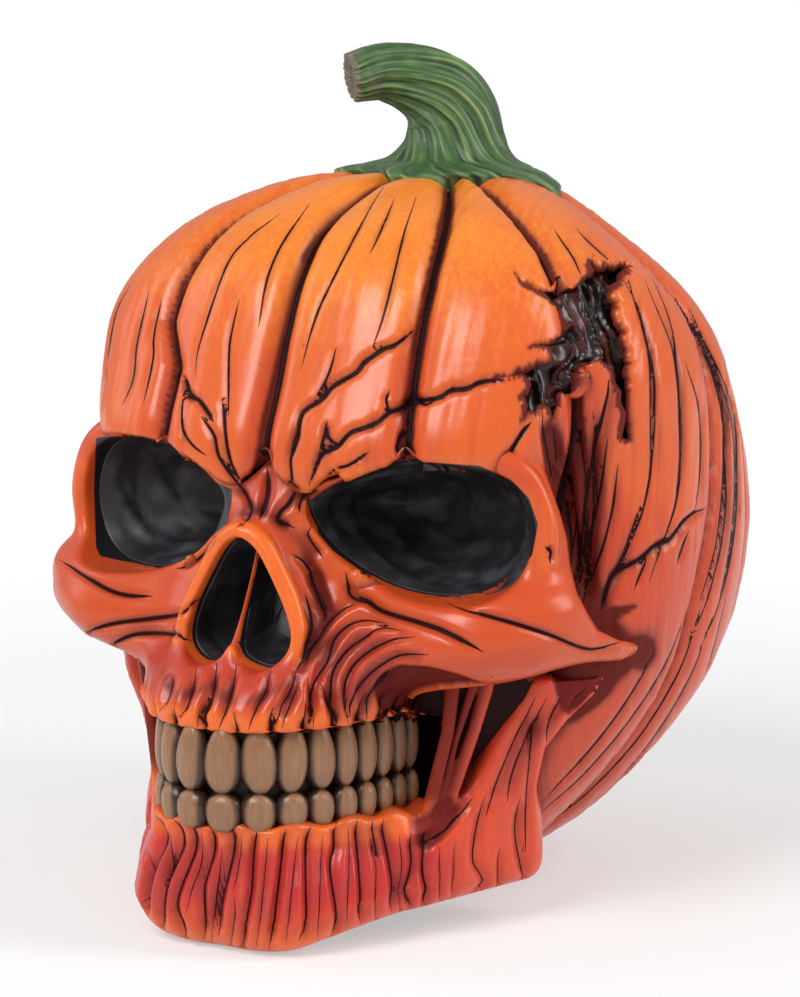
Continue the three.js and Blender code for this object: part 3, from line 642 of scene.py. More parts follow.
@dataclass(frozen=True)
class ShellForm:
    """The pumpkin's oval rings, from the same sizes as the CAD shell."""

    height: float = 155
    half_width: float = 69
    front: float = 68
    back: float = 76
    lean: float = 13
    front_power: float = 2.6
    back_power: float = 2.05
    axis_reach: float = 20
    temple_depth: float = 9.5
    temple_azimuth: float = 58
    temple_spread: float = 15
    temple_height: float = 86
    temple_span: float = 24
    brow_swell: float = 1.2
    brow_height: float = 104
    brow_span: float = 8

    def axis_y(self, z: Array) -> Array:
        """Give where the line that the lobes turn about passes a height."""
        return self.axis_reach * np.interp(z / self.height, LOBE_AXIS[:, 0], LOBE_AXIS[:, 1])

    def radius_table(self) -> Table:
        """Measure the radius about the lobes' axis for each degree and millimetre."""
        degrees = np.arange(-182, 183, 1.0)
        heights = np.arange(0, self.height + 0.5, 1.0)
        a, z = np.meshgrid(np.radians(degrees), heights, indexing="ij")
        share = z / self.height
        lean, wide, front, back = (
            np.interp(share, SHELL_ROWS[:, 0], SHELL_ROWS[:, i]) for i in (1, 2, 3, 4)
        )
        near, far = np.zeros(a.shape), np.full(a.shape, 160.0)
        # Each round halves the span that the surface lies in.
        for _ in range(26):
            half = (near + far) / 2
            away = self.lean * lean - (self.axis_y(z) - half * np.cos(a))
            power = np.where(away > 0, self.front_power, self.back_power)
            reach = np.where(away > 0, self.front * front, self.back * back)
            across = np.abs(half * np.sin(a)) / (self.half_width * wide)
            inside = across**power + np.abs(away / reach) ** power < 1
            near, far = np.where(inside, half, near), np.where(inside, far, half)
        kernel = bump(np.arange(-6, 7), 3.0)
        kernel /= kernel.sum()
        padded = np.pad(near, ((0, 0), (6, 6)), mode="edge")
        smooth = np.stack([np.convolve(row, kernel, "valid") for row in padded])
        hold = ease((self.height - z) / 9) * ease(z / 6)
        near = near * (1 - hold) + smooth * hold
        aside = (np.abs(np.degrees(a)) - self.temple_azimuth) / self.temple_spread
        above = (z - self.temple_height) / self.temple_span
        near -= self.temple_depth * np.exp(-(aside**2) - above**2)
        facing = ease((75 - np.abs(np.degrees(a))) / 20)
        near += self.brow_swell * bump(z - self.brow_height, self.brow_span) * facing
        return Table(near, (math.radians(degrees[0]), 0.0), (math.radians(1), 1.0))


class Shell:
    """The shell as a distance, with its valleys."""

    def __init__(self, form: ShellForm) -> None:
        """Prepare the tables of radius and slope."""
        self.form = form
        self.radii = form.radius_table()
        values = self.radii.values
        around = np.gradient(values, math.radians(1), axis=0) / np.maximum(values, 5)
        rise = np.gradient(values, 1.0, axis=1)
        slope = 1 / np.sqrt(1 + around**2 + np.minimum(rise**2, 30))
        self.slopes = Table(slope, self.radii.low, self.radii.step)

    def polar(self, x: Array, y: Array, z: Array) -> tuple[Array, Array]:
        """Give the azimuth and the radius about the lobes' axis."""
        ahead = self.form.axis_y(z) - y
        return np.arctan2(x, ahead), np.hypot(x, ahead)

    def reach(self, x: Array, y: Array, z: Array) -> Array:
        """Give the signed distance to the smooth shell without its valleys."""
        azimuth, radius = self.polar(x, y, z)
        side = (radius - self.radii.read(azimuth, z)) * self.slopes.read(azimuth, z)
        capped = smooth_max(side, z - self.form.height, 2.0)
        return smooth_max(capped, -z, 1.5)

    def valleys(self, points: Array) -> tuple[Array, Array, Array]:
        """Measure points against the valleys.

        Returns:
            The signed millimetres to the nearest valley, the share across the lobe from 0 to 1,
            and the number of the nearest valley.
        """
        x, y, z = points.T
        azimuth, radius = self.polar(x, y, z)
        degrees = np.degrees(azimuth)
        gaps = []
        for k in range(LOBES):
            straight = ((0, LOBE_DEGREES * k), (self.form.height, LOBE_DEGREES * k))
            heights, turns = zip(*SEEN_VALLEYS.get(k, straight))
            gaps.append((degrees - np.interp(z, heights, turns) + 180) % 360 - 180)
        gaps = np.array(gaps)
        nearest = np.abs(gaps).argmin(0)
        gap = np.take_along_axis(gaps, nearest[None], 0)[0]
        after = np.where(gaps >= 0, gaps, 999).min(0)
        before = np.where(gaps < 0, -gaps, 999).min(0)
        return np.radians(gap) * radius, after / (after + before), nearest


SOCKET_OUTLINE = np.array([
    [-0.98, 0.27], [-0.8, 0.52], [-0.54, 0.73], [-0.21, 0.91], [0.08, 0.97], [0.38, 0.94],
    [0.67, 0.81], [0.87, 0.55], [0.98, 0.08], [0.95, -0.36], [0.83, -0.74], [0.58, -0.97],
    [0.21, -1.02], [-0.17, -0.93], [-0.5, -0.69], [-0.75, -0.39], [-0.92, -0.06],
])
# Depth, width, and shift towards the middle of the head, from the mouth of the socket.
SOCKET_WALLS = np.array([
    [-0.7, 1.03, 0], [0.1, 1, 0], [0.4, 0.9, 0.03], [0.68, 0.72, 0.09], [0.88, 0.48, 0.14],
    [1, 0.2, 0.18],
])
# The black paint of the nearer and the farther socket, in the photograph's frame.
SOCKETS_SEEN = [
    "316,507 331,489 373,471 427,462 480,466 511,480 529,498 538,524 532,556 507,578 462,591 409,587 "
    "364,573 333,551 318,533",
    "96,438 109,436 149,439 167,444 193,467 216,482 236,491 237,507 231,520 216,533 198,547 176,560 "
    "149,565 122,561 100,556 96,547 94,490",
]


@dataclass
class SocketForm:
    """An eye socket, measured on a plane that faces outwards from its middle."""

    x: float = 32
    y: float = -47
    z: float = 87
    half_width: float = 24
    half_height: float = 14.2
    depth: float = 25
    turn: float = math.radians(17)
    rim: float = 3.0

    def __post_init__(self) -> None:
        """Measure the outline."""
        corners = SOCKET_OUTLINE * [self.half_width, self.half_height]
        self.outline = Outline(catmull(corners, 90, closed=True))
        self.seen = [Outline(trace(corners), 1.0, 8.0) for corners in SOCKETS_SEEN]

    def painted(self, points: Array) -> Array:
        """Give the distance to the black paint that the photograph shows beside the hollow."""
        x, y, z = points.T
        near, far = (seen_reach(outline, x, y, z) for outline in self.seen)
        return np.maximum(np.where(x > 0, near, far), np.maximum(self.plug(x, y, z) - 4, y + 25))

    def local(self, x: Array, y: Array, z: Array) -> tuple[Array, Array, Array]:
        """Give the place across, up and into the socket on either side of the head."""
        p, q = np.abs(x) - self.x, y - self.y
        c, s = math.cos(self.turn), math.sin(self.turn)
        return p * c + q * s, z - self.z, q * c - p * s

    def walls(self, share: Array) -> tuple[Array, Array]:
        """Give the size of the hollow, and its shift, at a share of its depth."""
        deep, scale, shift = SOCKET_WALLS.T
        return np.interp(share, deep, scale), np.interp(share, deep, shift) * self.half_width

    def plug(self, x: Array, y: Array, z: Array) -> Array:
        """Give the distance to the hollow of the socket."""
        a, b, deep = self.local(x, y, z)
        scale, shift = self.walls(deep / self.depth)
        wall = self.outline.reach((a + shift) / scale, b / scale) * scale
        return np.maximum(np.maximum(wall, -deep - 18), deep - self.depth)

    def hoop(self, x: Array, y: Array, z: Array) -> Array:
        """Give the distance to the raised rim of the socket."""
        a, b, deep = self.local(x, y, z)
        ring = self.outline.reach(a, b) - 0.72 * self.rim
        return np.hypot(ring, deep / 0.85) - self.rim

    def place(self, side: int, a: Array, b: Array, deep: Array) -> Array:
        """Turn places across, up and into the socket into points."""
        c, s = math.cos(self.turn), math.sin(self.turn)
        x = self.x + a * c - deep * s
        y = self.y + a * s + deep * c
        return np.stack([side * x, y, self.z + b + 0 * x], axis=-1)


NOSE_HALF = np.array([
    [0, 0.17], [0.2, 0.05], [0.6, -0.01], [0.93, 0.07], [1.03, 0.22], [0.9, 0.44], [0.64, 0.68],
    [0.38, 0.88], [0.18, 0.97], [0, 1],
])
NOSE_OUTLINE = np.vstack([NOSE_HALF, NOSE_HALF[-2:0:-1] * [-1, 1]])


@dataclass
class NoseForm:
    """The pear-shaped opening of the nose."""

    bottom: float = 58.5
    top: float = 85
    half_width: float = 12.5
    depth: float = 15
    front_y: float = -64.5
    rim: float = 1.9
    middle_share: float = 0.42
    plate_end: float = 3
    plate_sunk: float = 1.2
    plate_lean: float = 4.6

    def __post_init__(self) -> None:
        """Measure the outline."""
        high = self.top - self.bottom
        corners = (NOSE_OUTLINE - [0, self.middle_share]) * [self.half_width, high]
        self.outline = Outline(catmull(corners, 96, closed=True))
        self.middle_z = self.bottom + high * self.middle_share
        self.plate_height = high - 2 * self.plate_end

    def plate_share(self, z: Array) -> Array:
        """Give the share of the height of the plate between the two halves."""
        return (z - self.bottom - self.plate_end) / self.plate_height

    def plate_front(self, z: Array, share: Array) -> Array:
        """Give where the front of the plate lies, which leans inwards to its top."""
        middle = self.face_y(np.zeros_like(z), z - self.middle_z)
        return middle + self.plate_sunk + self.plate_lean * share

    def face_y(self, x: Array, up: Array) -> Array:
        """Give where the plane of the opening lies."""
        across = np.minimum(np.abs(x) / self.half_width, 1)
        return self.front_y - 0.2 * self.half_width * (1 - across) + 0.12 * up

    def plug(self, x: Array, y: Array, z: Array) -> Array:
        """Give the distance to the hollow of the nose."""
        up = z - self.middle_z
        deep = y - self.face_y(x, up)
        scale = np.interp(deep / self.depth, [-1, 0.5, 1], [1, 0.96, 0.7])
        wall = self.outline.reach(x / scale, up / scale) * scale
        return np.maximum(np.maximum(wall, -deep - 8), deep - self.depth)

    def hoop(self, x: Array, y: Array, z: Array) -> Array:
        """Give the distance to the raised rim of the nose."""
        up = z - self.middle_z
        deep = y - self.face_y(x, up)
        return np.hypot(self.outline.reach(x, up) - 0.6 * self.rim, deep) - self.rim


# The broken hole in the figure's left temple, in the photograph's frame.
WOUND_OUTLINE = (
    "515,272 522,286 526,283 539,291 556,293 574,290 580,280 590,272 586,266 589,258 "
    "595,268 601,266 604,263 609,267 615,262 621,265 626,268 631,272 626,275 622,279 621,286 613,290 "
    "611,298 618,306 615,313 617,321 625,334 622,340 627,349 629,365 626,372 630,393 629,410 630,441 "
    "624,443 618,439 620,428 622,413 617,402 618,393 613,384 610,372 599,360 590,363 580,362 573,372 "
    "575,381 573,389 567,394 558,393 559,403 556,413 551,420 546,410 541,408 534,417 528,414 521,422 "
    "522,406 519,396 527,386 520,378 508,379 494,381 494,378 507,375 516,370 526,367 536,362 553,360 "
    "549,354 550,350 538,349 527,347 539,343 549,342 561,337 566,330 568,323 564,317 563,311 557,305 "
    "551,303 546,297 539,295 533,290 527,288 519,280"
)


@dataclass
class WoundForm:
    """The broken temple, measured in the photograph's frame."""

    azimuth: float = math.radians(64)
    height: float = 122
    depth: float = 8
    recess: float = 3.5

    def __post_init__(self) -> None:
        """Measure the outline."""
        self.outline = Outline(trace(WOUND_OUTLINE), 0.8, 60.0)

    def reach(self, x: Array, y: Array, z: Array) -> Array:
        """Give the distance along the skin to the outline on the figure's left side."""
        reach = seen_reach(self.outline, x, y, z)
        return np.where((x > 20) & (y < 30), reach, 12.0)


# The edge where the forehead lobes overhang the root of the nose: across and height.
BROW_EDGE = np.array([
    [-40, 106], [-26.5, 102.1], [-14.5, 98.3], [-9.5, 95], [-5.2, 93.7], [-2, 96.4], [0, 98.9],
    [2.6, 98], [5.5, 95.9], [8, 94.2], [10.8, 93.9], [14.1, 97.1], [26, 102], [40, 106],
])


def brow_edge(x: Array) -> Array:
    """Give the height of the forehead's lower edge."""
    return np.interp(x, *BROW_EDGE.T)


# The hollow temple behind the pillar of the socket, in the photograph's frame.
TEMPLE = Outline(trace("531,420 539,444 544,468 553,493 560,513 567,538 570,565 577,593 587,612 "
    "598,630 618,640 636,643 700,640 720,400 560,380"), 1.5, 60.0)
# The tip of the pillar, which runs up onto the shell.
WEDGE = Outline(trace("507,470 510,456 518,440 528,426 533,420 541,444 546,468"), 1.0, 10.0)
SHELL = Shell(ShellForm())
SOCKET = SocketForm()
NOSE = NoseForm()
WOUND = WoundForm()


# The pieces


@dataclass
class Cranium:
    """The pumpkin shell with its lobes, cracks, hollow temples and broken hole."""

    material: Material
    face: "FaceBones"
    jaw: "JawBone"
    valley_depth: float = 2.6
    valley_width: float = 2.5
    seam_depth: float = 0.9
    seam_width: float = 0.9
    seam_ink: float = 0.7
    swell: float = 1.4
    grain: float = 0.16
    recess: float = 4.0
    inner_y: float = -30
    root_half: float = 19
    mouth_half: float = 33
    mouth_y: float = -34
    mouth_reach: float = 50
    mouth_z: float = 36
    mouth_rise: float = 11
    thin_lines: int = 4
    thin_depth: float = 0.35

    def distance(self, x: Array, y: Array, z: Array) -> Array:
        """Give the distance to the shell with all its openings."""
        base = SHELL.reach(x, y, z)
        out = smooth_max(base, -SOCKET.plug(x, y, z), 1.6)
        out = smooth_max(out, -NOSE.plug(x, y, z), 1.0)
        under = np.maximum(z - brow_edge(x), np.abs(x) - self.root_half)
        under = np.maximum(np.maximum(under, -(base + self.recess)), y - self.inner_y)
        out = smooth_max(out, -under, 1.6)
        hole = np.maximum(WOUND.reach(x, y, z), -(base + WOUND.depth))
        out = smooth_max(out, -hole, 0.25)
        ahead = np.minimum(y - self.mouth_y, 0) / self.mouth_reach
        mouth = np.hypot(x / self.mouth_half, ahead) * self.mouth_half - self.mouth_half
        mouth = np.maximum(mouth, np.abs(z - self.mouth_z) - self.mouth_rise)
        return smooth_max(out, -np.maximum(mouth, y - self.inner_y), 1.5)

    def shape(self) -> Skin:
        """Build the smooth shell."""
        xs = grid_lines(-72, (-40, 1.0), (35, 0.9), (73, 0.7))
        ys = grid_lines(-62, (-25, 0.8), (12, 0.75), (40, 1.4), (90, 1.8))
        zs = grid_lines(-2, (70, 1.05), (95, 0.9), (146, 0.7), (158, 0.9))
        return polygonise(self.distance, xs, ys, zs)

    def lobes(self, skin: Skin) -> None:
        """Press the valleys between the lobes and paint their seams."""
        x, y, z = skin.points.T
        normals = skin.normals()
        base = SHELL.reach(x, y, z)
        skin_only = ease((base + 1.6) / 1.2)
        outer = ease((base + 4.5) / 3)
        signed, share, number = SHELL.valleys(skin.points)
        reach = np.abs(signed)
        _, radius = SHELL.polar(x, y, z)
        calm = np.where(number == 3, 0.35, 1.0)
        fade = np.minimum(1, radius / (SHELL.form.half_width * 0.5)) * ease(z / 20)
        press = self.valley_depth * bump(reach, self.valley_width) * calm
        press += self.seam_depth * bump(reach, self.seam_width)
        lift = self.swell * np.sin(math.pi * share)
        skin.points += ((lift * skin_only - press * outer) * fade)[:, None] * normals
        wander = 0.25 * noise(skin.points, 5.0, 11)
        width = self.seam_ink * calm * np.clip(fade, 0.35, 1) * (1 + wander)
        width = np.where(skin_only > 0.6, width, 0.01)
        skin.draw_line(slice(None), signed, reach, width)
        # Painted shade, as well as dark paint, along the valleys beside the seam, and redder paint
        # farther out.
        skin.shade((0.55 * bump(reach, 1.2) + 0.12 * bump(reach, 2.4)) * skin_only * calm)
        skin.redden(0.7 * bump(reach, 6.0) * skin_only)
        # The grain's marks are about 2 mm wide and 26 mm long.
        azimuth, radius = SHELL.polar(x, y, z)
        along = np.stack([azimuth * radius / 2.1, z / 26, radius / 40], axis=1)
        grain = noise(along, 1.0, 12) + 0.6 * noise(along * 2.3, 1.0, 13)
        skin.points -= (self.grain * grain * fade * skin_only)[:, None] * normals
        skin.shade(0.2 * np.clip(grain, 0, 1) * skin_only)
        skin.redden(0.22 * grain * skin_only)

    def thin(self, skin: Skin) -> None:
        """Carve and paint the thin lines on the lobes that the photograph hides."""
        rng = np.random.default_rng(7)
        x, y, z = skin.points.T
        normals = skin.normals()
        _, share, _ = SHELL.valleys(skin.points)
        azimuth, radius = SHELL.polar(x, y, z)
        hidden = (VIEW.facing(skin.points, normals) < 0.02) & (SHELL.reach(x, y, z) > -4)
        place = np.degrees(azimuth) / LOBE_DEGREES
        lobe = np.floor(place).astype(int)
        for number in range(-LOBES // 2, LOBES // 2):
            for line in range(self.thin_lines):
                across = (line + 1 + rng.uniform(-0.3, 0.3)) / (self.thin_lines + 1)
                low, high = rng.uniform(12, 60), rng.uniform(85, 146)
                bend, width = rng.uniform(-0.06, 0.06), rng.uniform(0.28, 0.5)
                near = (np.abs(lobe - number) <= 1) & (z > low - 3) & (z < high + 3)
                pick = np.flatnonzero(hidden & near)
                if not len(pick):
                    continue
                climb = (z[pick] - low) / (high - low)
                middle = across + bend * np.sin(math.pi * climb)
                span = np.radians(LOBE_DEGREES) * radius[pick]
                same = np.abs(place[pick] - number - 0.5) < 0.75
                signed = np.where(same, (share[pick] - middle) * span, FAR)
                ends = np.minimum(climb, 1 - climb) / 0.3
                thin = np.sqrt(np.clip(ends, 0.0, 1))
                sunk = self.thin_depth * thin * bump(signed, 0.9)
                skin.points[pick] -= sunk[:, None] * normals[pick]
                # Painted shade beside the sunk line.
                skin.tone[pick, 0] += 0.3 * thin * bump(signed, 1.6)
                reach = np.where(thin > 0.02, np.abs(signed), FAR)
                skin.draw_line(pick, signed, 0.5 * reach, width * thin)

    def colour(self, skin: Skin) -> None:
        """Set where the paint is yellower, redder and darker."""
        x, y, z = skin.points.T
        azimuth, _ = SHELL.polar(x, y, z)
        base = SHELL.reach(x, y, z)
        wound = WOUND.reach(x, y, z)
        # Dark paint in the broken temple and on its edge, and painted shade on the walls that lie
        # back behind the skin.
        skin.shade(0.95 * ease((0.6 - wound) / 0.6) + 0.15 * bump(np.maximum(wound, 0), 2.0))
        skin.tone[:, 2] *= 1 - bump(wound, 2.5)
        skin.shade(ease((-1.2 - base) / 1.6))
        # Redder towards the foot, brighter on the front of the crown.
        skin.redden(0.75 * ease((106 - z) / 34) + 0.35 * ease((45 - z) / 40))
        skin.brighten(0.75 * ease((z - 112) / 34) * bump(azimuth - 0.2, 1.1))
        # Painted shade beside the bones, where the shell meets them, wider at the temples and below
        # them, with redder paint there.
        near = np.minimum(self.face.distance(x, y, z), self.jaw.distance(x, y, z))
        temple = np.maximum(ease((np.abs(np.degrees(azimuth)) - 40) / 12), ease((62 - z) / 8))
        skin.shade(0.6 * bump(np.maximum(near / np.maximum(temple, 0.3), 0), 2.8))
        low = ease((116 - z) / 24) * ease((z - 40) / 12) * temple
        skin.shade(0.3 * bump(np.maximum(near, 0), 7.0) * low)
        skin.redden(0.5 * bump(np.maximum(near, 0), 12.0) * temple)
        # Less of the dark coat on the tip of the pillar, which takes the painted shade beside the
        # bones off it.
        skin.tone[:, 0] *= 1 - 0.85 * ease(0.5 - seen_reach(WEDGE, x, y, z) / 2) * (x > 20)
        # Black in the sockets and the nose, and let into the lobe over the farther socket.
        hollow = np.minimum(SOCKET.plug(x, y, z), NOSE.plug(x, y, z)) - 0.5
        skin.blacken(np.maximum(hollow, base + 1.2))
        painted = SOCKET.painted(skin.points)
        skin.blacken(painted)
        sunk = 2.0 * ease(0.4 - painted / 1.6) * ease((base + 3) / 2) * (x < 0)
        skin.points -= sunk[:, None] * skin.normals()

    def build(self) -> None:
        """Build, carve, paint and finish the shell."""
        skin = self.shape()
        self.lobes(skin)
        self.thin(skin)
        skin.carve(CRANIUM_STROKES)
        skin.flood(CRANIUM_SHADE_POOLS)
        skin.wash_and_shade(0.6, 0.12)
        self.colour(skin)
        skin.piece("pumpkin_cranium", self.material, Slot.SHELL, "pumpkin_shell")


# Lines on the shell, in the photograph's frame.
TEMPLE_CORDS = """
543,413 566,520 571,563
571,391 583,470 588,524 590,591
593,413 597,440 597,480 590,570 584,602
556,430 565,470 573,520 580,590
"""
LOBE_LINES = """
148,292 136,341 132,378 123,403
161,301 153,336 152,358 143,403
279,214 249,236 225,266 199,343 195,371
239,299 230,336 228,363 228,418
309,204 281,244 266,281 259,324
385,184 366,214 326,291 312,326 301,368
394,199 371,251
416,197 403,236 385,309 373,346
336,348 326,378 314,398
130,284 115,311 107,353 106,378
555,230 573,255 581,274
578,230 613,262
623,279 637,301 647,333 652,368 652,471
652,277 667,309 677,348 684,439 677,500
686,363 699,402 702,439 701,476 696,508
657,279 684,311 709,353 723,402 727,439 723,500 716,549 701,599
694,323 716,368 731,412 736,451 736,500 731,549 721,599
618,466 613,510 600,557 588,586
640,508 627,547 610,584
689,532 678,564
648,559 635,589
629,279 653,358 656,413 653,462 643,513 622,565
646,282 677,358 682,427 679,496 650,580
677,299 719,386 727,462 725,531 708,600 690,640
691,310 732,400 739,479 734,548 719,607 700,650
608,441 601,496 584,565 575,586
548,838 600,800 650,745 690,680 712,620
545,826 590,792 640,738 680,672 700,612
542,812 585,775 628,725 665,668 688,610
548,796 590,752 625,706 655,655
556,850 620,800 668,745 706,675 726,600
"""
WOUND_RUN = """
609,382 608,402 591,476 578,562 572,584
"""
LONG_CRACKS = """
413,331 404,339 393,345 383,348 371,356 363,362 356,371 344,378 331,386 322,396 316,401 \
306,407 299,416 293,446 287,458
505,379 492,380 480,382 466,388 450,390 438,397 415,400 404,408 390,412 372,424 350,432 \
336,446 320,455 311,470
705,509 696,513 686,522 672,540 657,546 642,559 618,572 610,584 603,608
179,373 190,395 198,400 212,420
530,424 512,454 505,479
"""
SIDE_CRACKS = """
190,395 181,402 182,430 192,446 205,455
179,373 184,384 182,396
390,412 386,400 389,392
412,400 424,404 431,398
336,446 327,436 325,424
404,430 398,446 402,458
"""
BROW_CRACKS = """
202,418 213,436 218,458 238,487
222,400 225,440 231,467 240,480
267,464 242,485
267,464 273,477 284,484 300,490
296,427 289,455 291,487
327,422 309,486
367,453 349,465 336,470 327,480
"""
CRANIUM_STROKES = [
    *strokes(TEMPLE_CORDS, depth=1.3, width=1.4, ink=0.22, shade=0.3, taper=0.2),
    *strokes(LOBE_LINES, depth=0.45, width=0.9, ink=0.3, shade=0.34, taper=0.3),
    *strokes(WOUND_RUN, depth=1.0, width=1.6, ink=0.6, shade=0.5, taper=0.2),
    *strokes(LONG_CRACKS, mirrored=False, depth=1.1, width=0.95, ink=0.62, shade=0.45, taper=0.12),
    *strokes(SIDE_CRACKS, depth=0.6, width=0.7, ink=0.4, shade=0.3, mirrored=False),
    *strokes(BROW_CRACKS, depth=0.8, width=0.8, ink=0.42, shade=0.4, taper=0.15, mirrored=False),
]
# Painted shade in the hollow temple, under the cheek arch, at the foot of the deep hollow under the
# cheek, in a crack and a hole by the arch tip, and at two notches under the brow.
CRANIUM_SHADE_POOLS = [
    Pool("545,430 560,430 572,500 588,560 604,600 622,632 600,640 572,600 560,540 550,480",
         0.8, 2.4, 0.75, 0.5),
    Pool("560,655 600,652 622,655 628,668 605,700 585,716 566,716", 0.4, 1.5, 0.7, 0.5),
    # Black over the painted shade at the bottom of the deep hollow under the cheek, behind the cords.
    Pool("408,690 470,684 528,680 545,700 520,750 490,800 450,850 408,850",
         0.0, 1.0, 1.0, 0.0, black=True),
    Pool("608,612 618,607 634,603 638,607 625,615 613,619", 0.4, 0.6, 0.9, 0.0),
    Pool("630,645 642,640 652,642 655,655 645,668 633,664", 0.7, 1.5, 0.8, 0.2),
    Pool("260,452 266,448 271,453 270,463 261,463", 0.6, 0.8, 0.9, mirrored=False),
    Pool("402,450 408,447 413,452 411,461 403,461", 0.6, 0.8, 0.9, mirrored=False),
]


# Rows of the face by their height, each with places from its middle across and back.
FACE_ROWS = [
    (0.455, "0,1 0.125,0.988 0.242,0.938 0.328,0.856 0.398,0.75 "
     "0.438,0.637 0.45,0.537 0.438,0.463 0.406,0.4"),
    (0.495, "0,1.006 0.125,0.994 0.25,0.944 0.344,0.863 0.414,0.756 "
     "0.461,0.644 0.477,0.537 0.469,0.463 0.438,0.4"),
    (0.539, "0,0.963 0.125,0.956 0.242,0.912 0.344,0.831 0.445,0.75 "
     "0.578,0.681 0.719,0.606 0.781,0.512 0.766,0.4"),
    (0.578, "0,0.894 0.125,0.894 0.234,0.863 0.352,0.787 0.5,0.744 "
     "0.68,0.713 0.82,0.625 0.906,0.5 0.906,0.35"),
    (0.621, "0,0.85 0.125,0.85 0.227,0.812 0.359,0.75 0.531,0.744 "
     "0.734,0.719 0.914,0.6 0.984,0.463 0.969,0.312"),
    (0.665, "0,0.838 0.117,0.825 0.211,0.769 0.352,0.719 0.531,0.725 "
     "0.75,0.7 0.945,0.581 1.008,0.444 0.984,0.3"),
    (0.714, "0,0.831 0.109,0.806 0.195,0.738 0.336,0.675 0.516,0.681 "
     "0.734,0.662 0.938,0.562 1,0.431 0.961,0.294"),
    (0.777, "0,0.819 0.094,0.781 0.164,0.713 0.281,0.625 0.469,0.588 "
     "0.688,0.575 0.875,0.506 0.945,0.394 0.922,0.287"),
    (0.874, "0,0.769 0.086,0.738 0.148,0.688 0.266,0.637 0.469,0.619 "
     "0.688,0.569 0.852,0.481 0.922,0.381 0.891,0.275"),
    (0.951, "0,0.694 0.086,0.681 0.156,0.662 0.281,0.637 0.469,0.613 "
     "0.672,0.562 0.828,0.475 0.891,0.381 0.867,0.287"),
    (1, "0,0.625 0.086,0.625 0.156,0.619 0.281,0.6 0.469,0.575 "
     "0.656,0.531 0.781,0.456 0.828,0.375 0.797,0.3"),
]
# Stations of the cheek arch: across, back, height, and its thickness across and up.
ARCH_SHARES = [
    (0.844, 0.525, 0.631, 0.9, 1), (0.945, 0.35, 0.626, 0.8, 0.95),
    (0.984, 0.225, 0.607, 0.62, 0.8), (0.938, 0.075, 0.587, 0.43, 0.49),
]


@dataclass(frozen=True)
class ArchForm:
    """The half-oval that the teeth stand on."""

    half_width: float = 24.3
    reach: float = 40
    middle_y: float = -38

    def place(self, turn: Array, grow: float = 0.0) -> Array:
        """Give points of the arch, or of one beside it."""
        x = (self.half_width + grow) * np.sin(turn)
        return np.stack([x, self.middle_y - (self.reach + grow) * np.cos(turn)], axis=-1)

    def turn(self, x: Array, y: Array) -> Array:
        """Give the turn about the arch's middle at which a place lies."""
        return np.arctan2(x / self.half_width, -(y - self.middle_y) / self.reach)


TOOTH_WIDTHS = np.array([1.28, 1.22, 1.14, 1.06, 0.98, 0.92, 0.86, 0.8, 0.74])
ARCH = ArchForm()


def tooth_places() -> tuple[Array, Array, Array]:
    """Space the teeth of one side along the arch by their widths.

    Returns:
        The turn at each tooth's middle, the turn at each gap after it, and each pitch.
    """
    turns = np.linspace(0, math.pi / 2, 401)
    places = ARCH.place(turns)
    length = np.concatenate([[0], np.cumsum(np.hypot(*np.diff(places, axis=0).T))])
    ends = np.cumsum(TOOTH_WIDTHS) * length[-1] / TOOTH_WIDTHS.sum()
    pitch = np.diff(np.concatenate([[0], ends]))
    return np.interp(ends - pitch / 2, length, turns), np.interp(ends, length, turns), pitch


